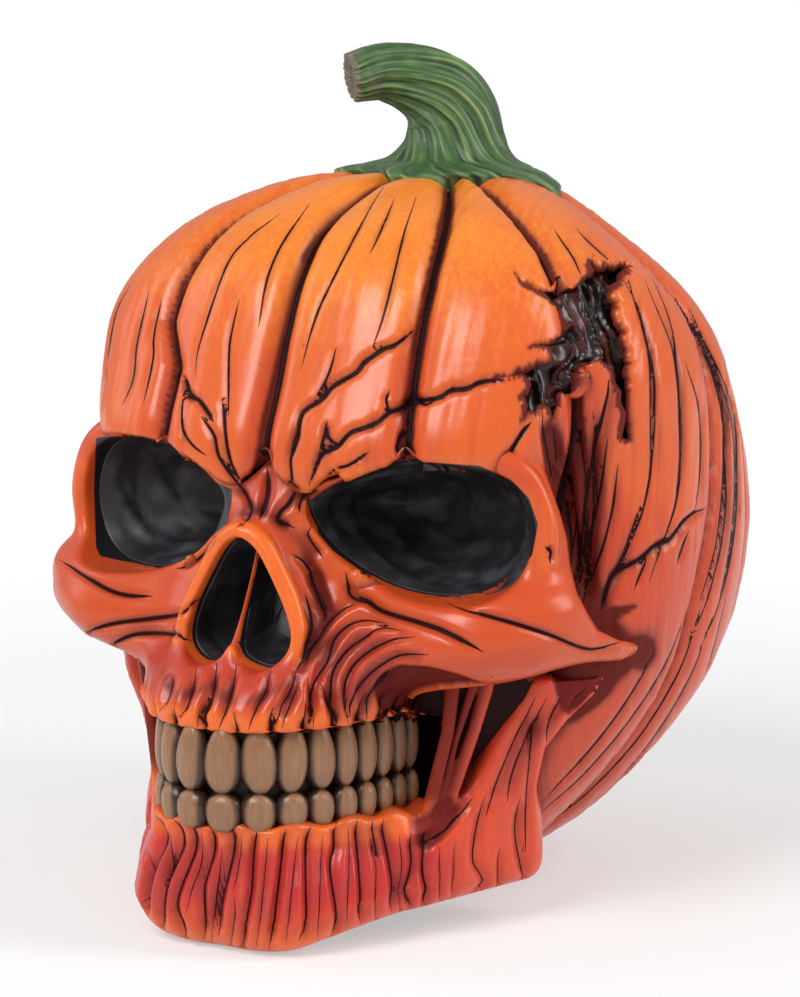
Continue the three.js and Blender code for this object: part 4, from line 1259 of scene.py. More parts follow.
@dataclass
class FaceBones:
    """The gums, cheekbones, cheek arches, socket rims and nose rim."""

    material: Material
    half_width: float = 64
    reach: float = 80
    top: float = 103.0
    gum: float = 46.9
    arch_root: float = 6.5
    centre_y: float = -20
    cap: float = 102.5
    core: float = 6.0
    gum_dip: float = 1.6
    gum_arch: float = 2.0
    arch_radius: float = 33
    root_depth: float = 1.9
    root_width: float = 1.35
    root_ink: float = 0.38
    fine: float = 0.56

    def __post_init__(self) -> None:
        """Prepare the table of the face's radius about an upright line."""
        heights, radii, rears = [], [], []
        for share, half in FACE_ROWS:
            row = catmull(trace(half) * [self.half_width, -self.reach], 90)
            radii.append(np.interp(DEGREES, *about(self.centre_y, row)))
            heights.append(share * self.top)
            rears.append(row[-1, 1])
        fine_rows = catmull(np.column_stack([heights, rears, np.array(radii)]), 120)
        low, step = 44.0, 0.5
        zs = np.arange(low, 105.01, step)
        self.rear = (zs, np.interp(zs, fine_rows[:, 0], fine_rows[:, 1]))
        columns = [np.interp(zs, fine_rows[:, 0], column) for column in fine_rows[:, 2:].T]
        self.radii = Table(np.array(columns), (0.0, low), (math.radians(1), step))
        rise = np.gradient(self.radii.values, step, axis=1)
        around = np.gradient(self.radii.values, math.radians(1), axis=0) / self.radii.values
        slope = 1 / np.sqrt(1 + np.minimum(rise**2, 9) + around**2)
        self.slopes = Table(slope, self.radii.low, self.radii.step)
        shares = np.array(ARCH_SHARES)
        size = [self.half_width, -self.reach, self.top, self.arch_root, self.arch_root]
        self.arch = catmull(shares * size, 9)
        _, gaps, _ = tooth_places()
        self.gaps = np.concatenate([-gaps[::-1], [0.0], gaps])

    def gum_line(self, x: Array, y: Array) -> Array:
        """Give the height of the scalloped gum: low between the teeth, arched over each."""
        turn = ARCH.turn(x, y)
        k = np.clip(np.searchsorted(self.gaps, turn.ravel()) - 1, 0, len(self.gaps) - 2)
        low, high = self.gaps[k], self.gaps[k + 1]
        share = ((turn.ravel() - low) / (high - low)).reshape(turn.shape)
        arch = np.sqrt(np.clip(1 - (2 * share - 1) ** 2, 0, 1))
        return self.gum - self.gum_dip + self.gum_arch * arch

    def distance(self, x: Array, y: Array, z: Array) -> Array:
        """Give the distance to the bones of the face."""
        azimuth = np.arctan2(np.abs(x), self.centre_y - y)
        radius = np.hypot(x, y - self.centre_y)
        body = (radius - self.radii.read(azimuth, z)) * self.slopes.read(azimuth, z)
        body = np.maximum(body, y - np.interp(z, *self.rear) - 1.5)
        body = smooth_max(body, z - self.cap, 2.5)
        body = smooth_max(body, self.core - radius, 1.0)
        arch = rod(np.abs(x), y, z, self.arch)
        out = smooth_min(body, arch, 3.0)
        out = smooth_min(out, SOCKET.hoop(x, y, z), 3.2)
        out = smooth_min(out, NOSE.hoop(x, y, z), 2.4)
        out = smooth_max(out, -seen_reach(TEMPLE, np.abs(x), y, z), 2.0)
        trim = 1.6 * ease((np.abs(x) - 10) / 6) - 14 * ease((np.abs(x) - 35) / 8)
        over = z - brow_edge(x) - 0.5 + trim
        out = smooth_max(out, over, 1.0)
        out = smooth_max(out, -SOCKET.plug(x, y, z), 1.1)
        out = smooth_max(out, -NOSE.plug(x, y, z), 0.9)
        return smooth_max(out, self.gum_line(x, y) - z, 0.9)

    def shape(self) -> Skin:
        """Build the smooth bones."""
        ends = ((-70, 71), (-84, -1), (43, 108))
        return polygonise(self.distance, *(np.arange(*pair, self.fine) for pair in ends))

    def roots(self, skin: Skin) -> None:
        """Press the flutes between the roots of the teeth."""
        x, y, z = skin.points.T
        normals = skin.normals()
        turn = ARCH.turn(x, y)
        front = ease((-y - 40) / 8) * ease((36 - np.abs(x)) / 6)
        for k, gap in enumerate(self.gaps):
            sway = 0.02 * np.sin(z * 0.45 + 1.9 * k)
            high = 50 + 1.5 * math.sin(2.3 * k)
            signed = (turn - gap - sway * ease((z - 48) / 6)) * self.arch_radius
            fade = front * ease((high + 4 - z) / 8)
            press = self.root_depth * bump(signed, self.root_width) * fade
            skin.points -= press[:, None] * normals
            # Painted shade down each flute, with a dark line in it.
            skin.shade(0.6 * bump(signed, 1.1) * fade)
            reach = np.where(fade > 0.05, np.abs(signed), FAR)
            skin.draw_line(slice(None), signed, reach, self.root_ink * fade)

    def colour(self, skin: Skin) -> None:
        """Set where the paint is redder, brighter and darker."""
        x, y, z = skin.points.T
        # Redder about the mouth, brighter on the rims and the gum.
        muzzle = ease((66 - z) / 10) * ease((34 - np.abs(x)) / 12)
        lip = bump(z - 60, 5.5) * ease((30 - np.abs(x)) / 10)
        skin.redden(0.4 * muzzle + 0.3 * lip + 0.15)
        skin.brighten(0.3 * bump(SOCKET.hoop(x, y, z), 1.6) * ease((98 - z) / 5))
        skin.brighten(0.7 * bump(NOSE.hoop(x, y, z), 1.0))
        skin.brighten(0.75 * ease((54 - z) / 5) * muzzle)
        # Painted shade round the rim of the nose and under the overhanging brow.
        wall = NOSE.outline.reach(x, z - NOSE.middle_z)
        skin.shade(0.4 * bump(wall - 4.6, 1.3) * ease((-y - 50) / 6))
        skin.shade(0.6 * bump(brow_edge(x) - z, 2.0) * ease((40 - np.abs(x)) / 6))
        # Black in the sockets and the nose.
        deep = y - NOSE.face_y(x, z - NOSE.middle_z)
        skin.blacken(SOCKET.painted(skin.points))
        skin.blacken(np.maximum(SOCKET.plug(x, y, z) - 0.4, 1.0 - SOCKET.local(x, y, z)[2]))
        skin.blacken(np.maximum(NOSE.plug(x, y, z) - 0.4, 0.8 - deep))

    def build(self) -> None:
        """Build, carve, paint and finish the face."""
        skin = self.shape()
        self.roots(skin)
        skin.carve(FACE_STROKES)
        skin.flood(FACE_SHADE_AND_RED_POOLS)
        skin.wash_and_shade(1.0, 0.26, 20)
        self.colour(skin)
        skin.piece("face_bones", self.material, Slot.BONE, "upper_face")


# Lines on the face, in the photograph's frame.
SOCKET_CREASE = """
346,575 350,593 367,600 383,610 438,628 481,651
"""
CHEEK_CREASES = """
447,602 541,632 582,649 601,650 621,641
546,548 553,553 551,562
"""
CHEEK_WRINKLES = """
356,602 341,609 325,625 307,662
383,622 362,619 346,625 334,639 328,660 314,685 313,726
399,630 380,627 362,637 346,650 334,669 332,689 337,724
412,637 392,639 371,648 355,662 347,678 346,696 349,724
426,655 401,656 383,664 367,678 354,699 352,717
387,673 380,687 369,701 367,717
311,570 325,604 324,616
294,555 305,562 315,579 325,615
306,596 311,614 313,633 308,652 295,671
311,528 309,537 322,557
"""
NOSE_CRACKS = """
267,470 267,493 260,517
239,484 249,506 246,516 239,525
295,490 288,504 281,511 279,520 292,527
306,490 300,511
315,490 310,504
178,568 190,562 203,551 214,537
75,640 110,625 180,612 200,600
60,560 110,590 150,596
100,655 130,636 165,632 190,640
"""
CHEEK_SHADE = """
400,660 485,684 507,686 530,679 549,666
"""
CHEEK_STRANDS = """
367,604 346,616 332,630 314,655 305,724
378,627 357,630 346,641 330,666 323,689 323,722
401,637 378,634 362,646 348,662 339,685 344,720
412,645 390,648 374,657 360,669 353,689 357,715
"""
LIP_FLUTES = """
159,710 165,692 172,672
175,724 184,703 190,686 196,668
197,725 207,700 212,684 216,664
218,730 224,706 231,682 236,664
249,728 256,706 265,688 270,668
273,727 283,702 292,686 296,672
283,726 293,698 299,684
309,725 312,696 308,682
335,725 333,706 322,686
"""
FACE_STROKES = [
    *strokes(SOCKET_CREASE, depth=1.3, width=1.2, ink=0.6, shade=0.45, taper=0.15),
    *strokes(CHEEK_CREASES, depth=0.9, width=1.0, ink=0.5, shade=0.45, taper=0.2),
    *strokes(CHEEK_WRINKLES, depth=1.2, width=1.4, ink=0.26, shade=0.4, taper=0.25),
    *strokes(NOSE_CRACKS, depth=1.1, width=1.1, ink=0.55, shade=0.45, mirrored=False),
    *strokes(CHEEK_SHADE, depth=0.0, width=1.6, ink=0.0, shade=0.35, taper=0.1),
    # Raised strands, painted lighter as painted highlight.
    *strokes(CHEEK_STRANDS, depth=-0.7, width=1.0, ink=0.0, shade=-0.25, taper=0.15),
    *strokes(LIP_FLUTES, depth=1.6, width=1.2, ink=0.2, shade=0.3, taper=0.3),
]
# Painted shade at the notch under the brow and in the hollow under the cheek; red paint with a little
# painted shade on the cheek's strands, and red paint on the root of the nose.
FACE_SHADE_AND_RED_POOLS = [
    Pool("260,452 266,448 271,453 270,463 261,463", 0.4, 0.8, 0.9, mirrored=False),
    Pool("392,668 410,668 430,670 456,677 485,687 507,689 530,681 560,690 560,760 400,760 "
         "385,715 376,690", 1.6, 1.0, 1.0, 0.4),
    Pool("330,640 350,628 380,634 402,640 392,664 374,690 366,722 330,722 322,690",
         0.0, 2.5, 0.1, 0.6),
    Pool("268,478 292,486 300,505 284,520 262,516 240,522 236,500 246,484", 0.0, 2.2, 0.0, 0.5),
]


# Rows of the jaw's outside, from its foot to its top: across, back and height.
JAW_ROWS = np.array([
    [(0, 0.95, 0), (0.202, 0.95, 0), (0.371, 0.931, 0.032), (0.494, 0.868, 0.103),
     (0.652, 0.717, 0.19), (0.809, 0.516, 0.254), (0.955, 0.239, 0.27)],
    [(0, 0.994, 0.278), (0.225, 0.994, 0.278), (0.416, 0.956, 0.294), (0.539, 0.881, 0.341),
     (0.697, 0.723, 0.417), (0.854, 0.522, 0.476), (1, 0.226, 0.516)],
    [(0, 1, 0.556), (0.225, 0.994, 0.556), (0.404, 0.95, 0.556), (0.528, 0.868, 0.575),
     (0.685, 0.717, 0.615), (0.854, 0.528, 0.655), (1, 0.226, 0.694)],
    [(0, 0.984, 0.813), (0.202, 0.975, 0.813), (0.371, 0.925, 0.813), (0.501, 0.836, 0.813),
     (0.652, 0.704, 0.825), (0.82, 0.541, 0.853), (0.993, 0.233, 0.873)],
    [(0, 0.996, 1), (0.191, 0.984, 1), (0.36, 0.931, 1), (0.479, 0.843, 1), (0.607, 0.717, 1),
     (0.753, 0.553, 1), (0.966, 0.252, 1)],
])
# The bar's inner edge, from its middle across and back.
JAW_INNER = np.array([
    [0, 0.83], [0.18, 0.818], [0.315, 0.761], [0.404, 0.679], [0.494, 0.579], [0.607, 0.453],
    [0.742, 0.277],
])
# Height, then the front and rear edge of the ramus across and back, and its thickness.
RAMUS_ROWS = np.array([
    [0.218, 0.708, 0.585, 0.989, 0.226, 1], [0.4, 0.744, 0.563, 1.011, 0.252, 1],
    [0.545, 0.846, 0.484, 1.045, 0.283, 1], [0.7, 0.93, 0.448, 1.112, 0.302, 1],
    [0.818, 1.011, 0.436, 1.225, 0.296, 0.96], [0.909, 1.067, 0.417, 1.315, 0.245, 0.9],
    [1, 1.13, 0.405, 1.371, 0.226, 0.8],
])


@dataclass
class JawBone:
    """The fluted bar of the jaw, the chin and the two rami."""

    material: Material
    half_width: float = 44.5
    reach: float = 79.5
    top: float = 27.6
    ramus_top: float = 55
    ramus_half: float = 5
    centre_y: float = -20
    rear_y: float = -18.5
    gap_waves: int = 30
    fine: float = 0.56
    cords: Array = field(default_factory=lambda: np.array([
        [[32.5, -46.5, 21, 1.9, 1.9], [34.0, -46.0, 30, 1.4, 1.4], [37.0, -44.5, 44, 1.3, 1.3],
         [38.0, -44.0, 55, 1.6, 1.6]],
        [[34.5, -43.0, 21, 2.0, 2.0], [36.5, -41.5, 31, 1.4, 1.4], [40.5, -39.5, 44, 1.3, 1.3],
         [43.0, -38.0, 55, 1.7, 1.7]],
        [[34.0, -44.5, 20, 1.2, 1.2], [35.0, -43.5, 30, 0.7, 0.7], [37.5, -42.0, 42, 0.7, 0.7],
         [41.5, -41.0, 55, 1.0, 1.0]],
    ]))

    def __post_init__(self) -> None:
        """Prepare the tables of the bar's outer and inner radius."""
        size = np.array([self.half_width, -self.reach, self.top])
        levels = []
        for row in JAW_ROWS:
            fine = catmull(row * size, 90)
            azimuth, radius = about(self.centre_y, fine)
            levels.append([np.interp(DEGREES, azimuth, values) for values in (radius, fine[:, 2])])
        levels = np.array(levels)
        self.low = levels[0, 1]
        steps = 40
        shares = np.linspace(0, 1, steps + 1)
        values = []
        for radii, heights in levels.transpose(2, 1, 0):
            rise = (heights - heights[0]) / (self.top - heights[0])
            values.append(np.interp(shares, rise, radii))
        self.outer = Table(np.array(values), (0.0, 0.0), (math.radians(1), 1 / steps))
        inner = catmull(JAW_INNER * size[:2], 90)
        self.inner = np.interp(DEGREES, *about(self.centre_y, inner))

    def ramus(self, x: Array, y: Array, z: Array) -> Array:
        """Give the distance to the ramus on either side."""
        heights, *columns = RAMUS_ROWS.T
        at = [np.interp(z / self.ramus_top, heights, column) for column in columns]
        ax, ay = at[0] * self.half_width, -at[1] * self.reach
        bx, by = at[2] * self.half_width, -at[3] * self.reach
        dx, dy = bx - ax, by - ay
        length = np.hypot(dx, dy)
        nx, ny = -dy / length, dx / length
        shift = self.ramus_half * 0.4
        ax, bx, ay, by = ax + nx * shift, bx + nx * shift, ay + ny * shift, by + ny * shift
        thick = self.ramus_half * at[4]
        trim = np.minimum(thick / length, 0.4)
        px, py = np.abs(x) - ax, y - ay
        t = np.clip((px * dx + py * dy) / length**2, trim, 1 - trim)
        flat = np.hypot(px - t * dx, py - t * dy) - thick
        return smooth_max(smooth_max(flat, z - self.ramus_top, 2), 10 - z, 4)

    def distance(self, x: Array, y: Array, z: Array) -> Array:
        """Give the distance to the jaw."""
        azimuth = np.arctan2(np.abs(x), self.centre_y - y)
        radius = np.hypot(x, y - self.centre_y)
        low = np.interp(np.degrees(azimuth), DEGREES, self.low)
        rise = (z - low) / (self.top - low)
        out = radius - self.outer.read(azimuth, rise)
        inside = np.interp(np.degrees(azimuth), DEGREES, self.inner) - radius
        bar = smooth_max(out, inside, 2.0)
        bar = smooth_max(bar, (low - z) * 0.95, 6.0)
        bar = smooth_max(bar, z - self.top + 0.6 * np.cos(azimuth * self.gap_waves), 1.6)
        bar = smooth_max(bar, y - self.rear_y, 3)
        out = smooth_min(bar, self.ramus(x, y, z), 6.0)
        for cord in self.cords:
            out = smooth_min(out, rod(np.abs(x), y, z, cord), 1.2)
        return smooth_max(out, z - self.ramus_top, 1.5)

    def shape(self) -> Skin:
        """Build the smooth jaw."""
        ends = ((-62, 63), (-83, -12), (-3, 58))
        return polygonise(self.distance, *(np.arange(*pair, self.fine) for pair in ends))

    def colour(self, skin: Skin) -> None:
        """Set the crimson band, the orange edges, and painted shade on the top and in the hollow
        under the cheek.
        """
        x, y, z = skin.points.T
        front = ease((-y - 38) / 14)
        skin.redden(front * (0.95 * bump(z - 16, 6.0) + 0.25) + (1 - front) * 0.3)
        skin.brighten(front * 0.6 * (ease((z - 21) / 4) + ease((9 - z) / 7)))
        # Painted shade over the top of the jaw and on the cords in the hollow under the cheek.
        skin.shade(0.85 * ease((z - 24) / 8) * ease((44 - np.abs(x) + 0.25 * (z - 40)) / 6))

    def build(self) -> None:
        """Build, carve, paint and finish the jaw."""
        skin = self.shape()
        skin.carve(JAW_STROKES)
        skin.flood(JAW_SHADE_POOLS)
        skin.wash_and_shade(0.9, 0.2, 20)
        self.colour(skin)
        skin.points[:, 2] = np.maximum(skin.points[:, 2], 0)
        skin.piece("jaw_bone", self.material, Slot.JAW, "lower_jaw")


# Lines on the jaw, in the photograph's frame.
BAR_FLUTES = """
155,817 161,839 151,865 144,893 145,921
173,820 179,845 166,873 159,904 162,932
190,825 192,848 180,881 173,909 186,940
210,828 211,851 201,884 201,912 204,940
229,828 231,848 217,907 218,935
257,831 252,856 249,893 243,923 242,952
286,831 269,949
311,828 308,856 308,926 300,940
336,822 337,845 333,867 340,921 332,940
358,822 364,893 361,923
384,820 396,884 392,912
412,836 415,865 409,893 412,912
427,834 426,870 429,893 423,909
"""
FINE_FLUTES = """
148,850 146,880 138,910
168,832 168,860 160,884
201,835 199,862 190,890 186,912
221,850 211,915 212,945
241,838 233,890
234,900 230,948
268,840 256,948
298,840 286,944
323,838 321,905 318,938
349,830 351,860 348,928
372,838 378,870 376,925
400,838 404,870 400,920
440,850 442,880 440,905
455,846 456,874 452,900
500,850 500,880 494,896
"""
RAMUS_FLUTES = """
373,822 380,856
429,842 448,828 471,800
485,800 478,836 476,862 485,884 465,901
521,800 518,834 524,873 521,887
541,719 520,760 508,800
534,700 514,744 488,815
546,700 534,740 527,850
590,690 566,730 552,764
608,680 582,724 556,776
562,700 552,720 548,744
"""
JAW_STROKES = [
    *strokes(BAR_FLUTES, depth=1.8, width=1.3, ink=0.24, shade=0.36, taper=0.12),
    *strokes(FINE_FLUTES, depth=0.9, width=1.0, ink=0.08, shade=0.25, taper=0.3),
    *strokes(RAMUS_FLUTES, depth=1.1, width=1.5, ink=0.2, shade=0.34, taper=0.2),
]
# Painted shade in the hole under the cheek arch and at the foot of the hollow under the cheek.
JAW_SHADE_POOLS = [
    Pool("556,662 600,662 602,682 585,705 566,712 556,690", 0.9, 1.2, 1.0, 0.3),
    Pool("412,818 430,812 448,800 456,812 446,832 430,846 416,842", 0.8, 1.6, 0.7, 0.3),
]


def loft(rings: Array) -> Skin:
    """Close a row of rings into a skin, with a fan over each end.

    Args:
        rings: rings by sides by three, in millimetres.

    Returns:
        The skin.
    """
    count, sides = rings.shape[:2]
    points = np.vstack([rings.reshape(-1, 3), rings[0].mean(0), rings[-1].mean(0)])
    r, s = np.meshgrid(np.arange(count - 1), np.arange(sides), indexing="ij")
    n = (s + 1) % sides
    quads = np.stack([r * sides + s, r * sides + n, (r + 1) * sides + n, (r + 1) * sides + s], -1)
    s = np.arange(sides)
    n = (s + 1) % sides
    start, last = count * sides, (count - 1) * sides
    tris = np.vstack([
        np.stack([n, s, np.full(sides, start)], 1),
        np.stack([last + s, last + n, np.full(sides, start + 1)], 1),
    ])
    return Skin(points, quads.reshape(-1, 4), tris)


@dataclass
class SocketLining:
    """The matt black lining of a socket, with its broad swirls."""

    material: Material
    wall: float = 1.6
    rings: int = 56
    sides: int = 132
    swirls: int = 4
    swirl_depth: float = 0.8

    def cup(self, side: Side) -> Skin:
        """Build the lining of one side."""
        ring = catmull(SOCKET_OUTLINE, self.sides, closed=True)
        turn = np.arctan2(ring[:, 1], ring[:, 0])
        inner, outer = [], []
        for share in np.linspace(0.985, 0.045, self.rings):
            scale, shift = SOCKET.walls(share)
            wave = (self.swirls * turn / (2 * math.pi) + 2.6 * share) % 1.0
            ridge = np.exp(-(((wave - 0.5) / 0.2) ** 2)) * ease(np.array((share - 0.12) / 0.2))
            flat = ring * [SOCKET.half_width, SOCKET.half_height] * scale
            length = np.hypot(flat[:, 0], flat[:, 1])
            tuck = 0.35 - 1.1 * float(ease(np.array(share / 0.22)))
            for rows, grow in ((inner, tuck), (outer, self.wall)):
                press = self.swirl_depth * ridge if rows is inner else 0.0
                a = flat[:, 0] * (1 + (grow - press) / length) - shift
                b = flat[:, 1] * (1 + (grow - press) / length)
                deep = share * (SOCKET.depth + max(grow, -0.8)) + 0.4 * (grow > 0)
                rows.append(SOCKET.place(side.value, a, b, np.full_like(a, deep)))
        return loft(np.array(inner + outer[::-1]))

    def build(self) -> None:
        """Build and finish both linings."""
        for side in Side:
            hand = side.name.lower()
            skin = self.cup(side)
            skin.piece(f"{hand}_socket_lining", self.material, Slot.SOCKET, f"{hand}_eye_bowl")


@dataclass
class NoseParts:
    """The black linings of the nose and the plate between them."""

    black: Material
    bone: Material
    wall: float = 0.3
    tuck: float = 2.8
    plate_depth: float = 9
    rings: int = 26

    def cup(self, side: Side) -> Skin:
        """Build the lining of one half of the nose."""
        ring = catmull(NOSE_OUTLINE - [0, NOSE.middle_share], 150, closed=True)
        ring = ring * [NOSE.half_width, NOSE.top - NOSE.bottom]
        ring[:, 0] = np.maximum(ring[:, 0], 0.35)
        turn = np.arctan2(ring[:, 1], ring[:, 0] - 5)
        inner, outer = [], []
        for share in np.linspace(0.97, 0.12, self.rings):
            scale = float(np.interp(share, [0, 0.5, 1], [1, 0.96, 0.7]))
            ridge = 0.3 + 0.3 * np.sin(5 * turn + 4 * share) * ease(np.array((share - 0.2) / 0.2))
            for rows, grow in ((inner, -0.3), (outer, self.wall)):
                length = np.hypot(ring[:, 0], ring[:, 1])
                grown = (grow - (ridge if rows is inner else 0)) / length
                x = np.maximum(ring[:, 0] * scale * (1 + grown), 0.2)
                up = ring[:, 1] * scale * (1 + grown)
                z = NOSE.middle_z + up
                # The edge beside the plate is sunk behind it.
                sunk = self.tuck + NOSE.plate_lean * np.clip(NOSE.plate_share(z), 0, 1)
                deep = np.maximum(share * NOSE.depth, sunk * bump(x, 2.4))
                y = NOSE.face_y(x, up) + deep + (0.5 if rows is outer else 0)
                rows.append(np.stack([side.value * x, y, z], -1))
        return loft(np.array(inner + outer[::-1]))

    def plate(self) -> Skin:
        """Build the leaning septum, which flares at its foot."""
        rings = []
        for share in np.linspace(0, 1, 40):
            z = NOSE.bottom + NOSE.plate_end + share * NOSE.plate_height
            lean = 1.4 * (1 - share) ** 2 - 0.6 * share
            half = 0.55 + 1.5 * (1 - share) ** 5 + 0.25 * share**6
            turn = np.linspace(0, 2 * math.pi, 24, endpoint=False)
            x = half * np.cos(turn) - lean
            y = NOSE.plate_front(z, share) + self.plate_depth / 2 * (1 - np.sin(turn))
            rings.append(np.stack([x, y, np.full_like(x, z)], -1))
        return loft(np.array(rings))

    def build(self) -> None:
        """Build and finish the parts of the nose."""
        for side in Side:
            hand = side.name.lower()
            skin = self.cup(side)
            skin.piece(f"{hand}_nostril_lining", self.black, Slot.SOCKET, f"{hand}_nostril_pocket")
        plate = self.plate()
        _, y, z = plate.points.T
        plate.tone[:, 2] = 0.3
        plate.blacken(NOSE.plate_front(z, NOSE.plate_share(z)) + 0.9 - y)
        plate.piece("nose_plate", self.bone, Slot.BONE, "nose_septum")


@dataclass
class Stem:
    """The curled, twisted stalk with its ridges and its flare over the crown."""

    material: Material
    foot_y: float = 20
    flare: float = 24
    rise: float = 22.2
    sway: float = 21
    ridge_depth: float = 1.5
    ridges: int = 9
    twist: float = 1.5
    seat: float = 0.5
    drape: float = 1.5
    rings: int = 150
    sides: int = 180
    upright: float = 0.32
    foot_lobes: int = 5
    foot_swell: float = 0.12
    stations: Array = field(default_factory=lambda: np.array([
        [-0.12, -0.12, 1, 1], [-0.12, 0, 1, 1], [-0.12, 0.03, 0.74, 0.9], [-0.11, 0.11, 0.56, 0.5],
        [-0.11, 0.33, 0.45, 0], [-0.06, 0.58, 0.41, 0], [0.1, 0.8, 0.37, 0], [0.38, 0.94, 0.3, 0],
        [0.7, 1, 0.25, 0], [1, 0.955, 0.22, 0],
    ]))

    def crown(self, x: Array, y: Array) -> Array:
        """Give the height of the shell over a place near its crown."""
        low, high = np.full_like(x, 78.0), np.full_like(x, SHELL.form.height)
        for _ in range(20):
            half = (low + high) / 2
            azimuth, radius = SHELL.polar(x, y, half)
            lobe = 1.2 * np.abs(np.sin(6 * azimuth))
            inside = radius < SHELL.radii.read(azimuth, half) + lobe
            low, high = np.where(inside, half, low), np.where(inside, high, half)
        return low

    def shape(self) -> Skin:
        """Build the stalk ring by ring."""
        heading = np.array([-1, -1, 0]) / math.sqrt(2)
        across = np.cross(heading, [0, 0, 1])
        foot = np.array([0, self.foot_y, SHELL.form.height - self.seat])
        line = catmull(self.stations, self.rings)
        middles = foot + line[:, :1] * self.sway * heading
        middles[:, 2] = foot[2] + line[:, 1] * self.rise
        tangents = np.gradient(middles, axis=0)
        tangents /= np.linalg.norm(tangents, axis=1)[:, None]
        turns = np.linspace(0, 2 * math.pi, self.sides, endpoint=False)
        rings = []
        for i in range(self.rings):
            along = i / (self.rings - 1)
            radius, drape = self.flare * line[i, 2], float(np.clip(line[i, 3], 0, 1))
            lift = float(ease(np.array((along - self.upright) / self.upright)))
            forward = np.array([0, 0, 1.0]) * (1 - lift) + tangents[i] * lift
            forward /= np.linalg.norm(forward)
            up = np.cross(across, forward)
            up /= np.linalg.norm(up)
            turn = turns + along * self.twist
            wave = self.ridges * turns + 0.9 * np.sin(2 * turns + 2 * along)
            crest = np.abs(np.sin(wave / 2)) ** 0.6
            fine = 0.14 * np.sin(3 * wave + 2 * along) + 0.07 * np.sin(7 * turns + 3 * along)
            ridge = self.ridge_depth * (crest - 0.66 + fine) * min(1, line[i, 2] + 0.45)
            swell = 1 + self.foot_swell * drape * np.cos(self.foot_lobes * turn)
            size = radius * swell + ridge
            flat = size * np.array([np.cos(turn), np.sin(turn)])
            ring = middles[i] + across * flat[0][:, None] + up * flat[1][:, None]
            sag = self.crown(ring[:, 0], ring[:, 1]) - foot[2] + (self.drape if i > 6 else 0)
            ring[:, 2] += sag * drape
            rings.append(ring)
        return self.ended(np.array(rings), tangents[-1])

    def ended(self, rings: Array, forward: Array) -> Skin:
        """Close the cut end with a rough, slightly sunken face."""
        last = rings[-1]
        middle = last.mean(0)
        rng = np.random.default_rng(3)
        extra = []
        rounded = (0.97, 0.5), (0.9, 0.75), (0.78, 0.6)
        sunken = (0.6, 0.2), (0.4, 0.05), (0.2, 0.0)
        for share, push in rounded + sunken:
            ring = middle + (last - middle) * share + forward * push
            extra.append(ring + rng.uniform(-0.12, 0.12, (len(ring), 1)) * forward)
        return loft(np.vstack([rings, extra]))

    def build(self) -> None:
        """Build, paint and finish the stem."""
        skin = self.shape()
        count = np.arange(len(skin.points))
        ring, side = count // self.sides, count % self.sides
        turn = side * 2 * math.pi / self.sides
        around = np.stack([4 * np.cos(turn), 4 * np.sin(turn), ring / 26], 1)
        fibre = noise(around * [3.2, 3.2, 1], 1.0, 5) + 0.6 * noise(around * [7, 7, 2], 1.0, 6)
        rough = 0.16 * fibre + 0.1 * noise(skin.points, 1.6, 7) * ease((ring - 90) / 40)
        skin.points += rough[:, None] * skin.normals()
        # Painted shade in the grooves and painted highlight on the ridges, over the dry brush.
        skin.wash_and_shade(2.4, 0.9, 12)
        # Darker in the sunk fibres and lighter on the raised ones, as painted shade and highlight.
        skin.shade(np.clip(-0.3 * fibre, 0, 0.5))
        skin.brighten(0.35 * fibre)
        neck = ease((ring - 112) / 36) * ease(noise(skin.points, 2.2, 8) + 0.5)
        skin.tone[:, 1] = np.maximum(0.55 * neck, ease((count / self.sides - self.rings + 3) / 3))
        skin.piece("pumpkin_stalk", self.material, Slot.STEM, "stem")


@dataclass(frozen=True)
class ToothRow:
    """One row of teeth: its heights, and how its seeds are shaped.

    Root and tip are the shares of the width left at the top and the bottom, and belly is the
    height of the fullest part, from -1 to 1. Spread is the width to the pitch.
    """

    name: str
    bottom: float
    top: float
    root: float
    tip: float
    belly: float
    spread: float


TOOTH_ROWS = (
    ToothRow("upper", 34.0, 48.4, 0.62, 0.86, -0.15, 1.17),
    ToothRow("lower", 26.0, 34.4, 0.9, 0.84, 0.1, 1.08),
)


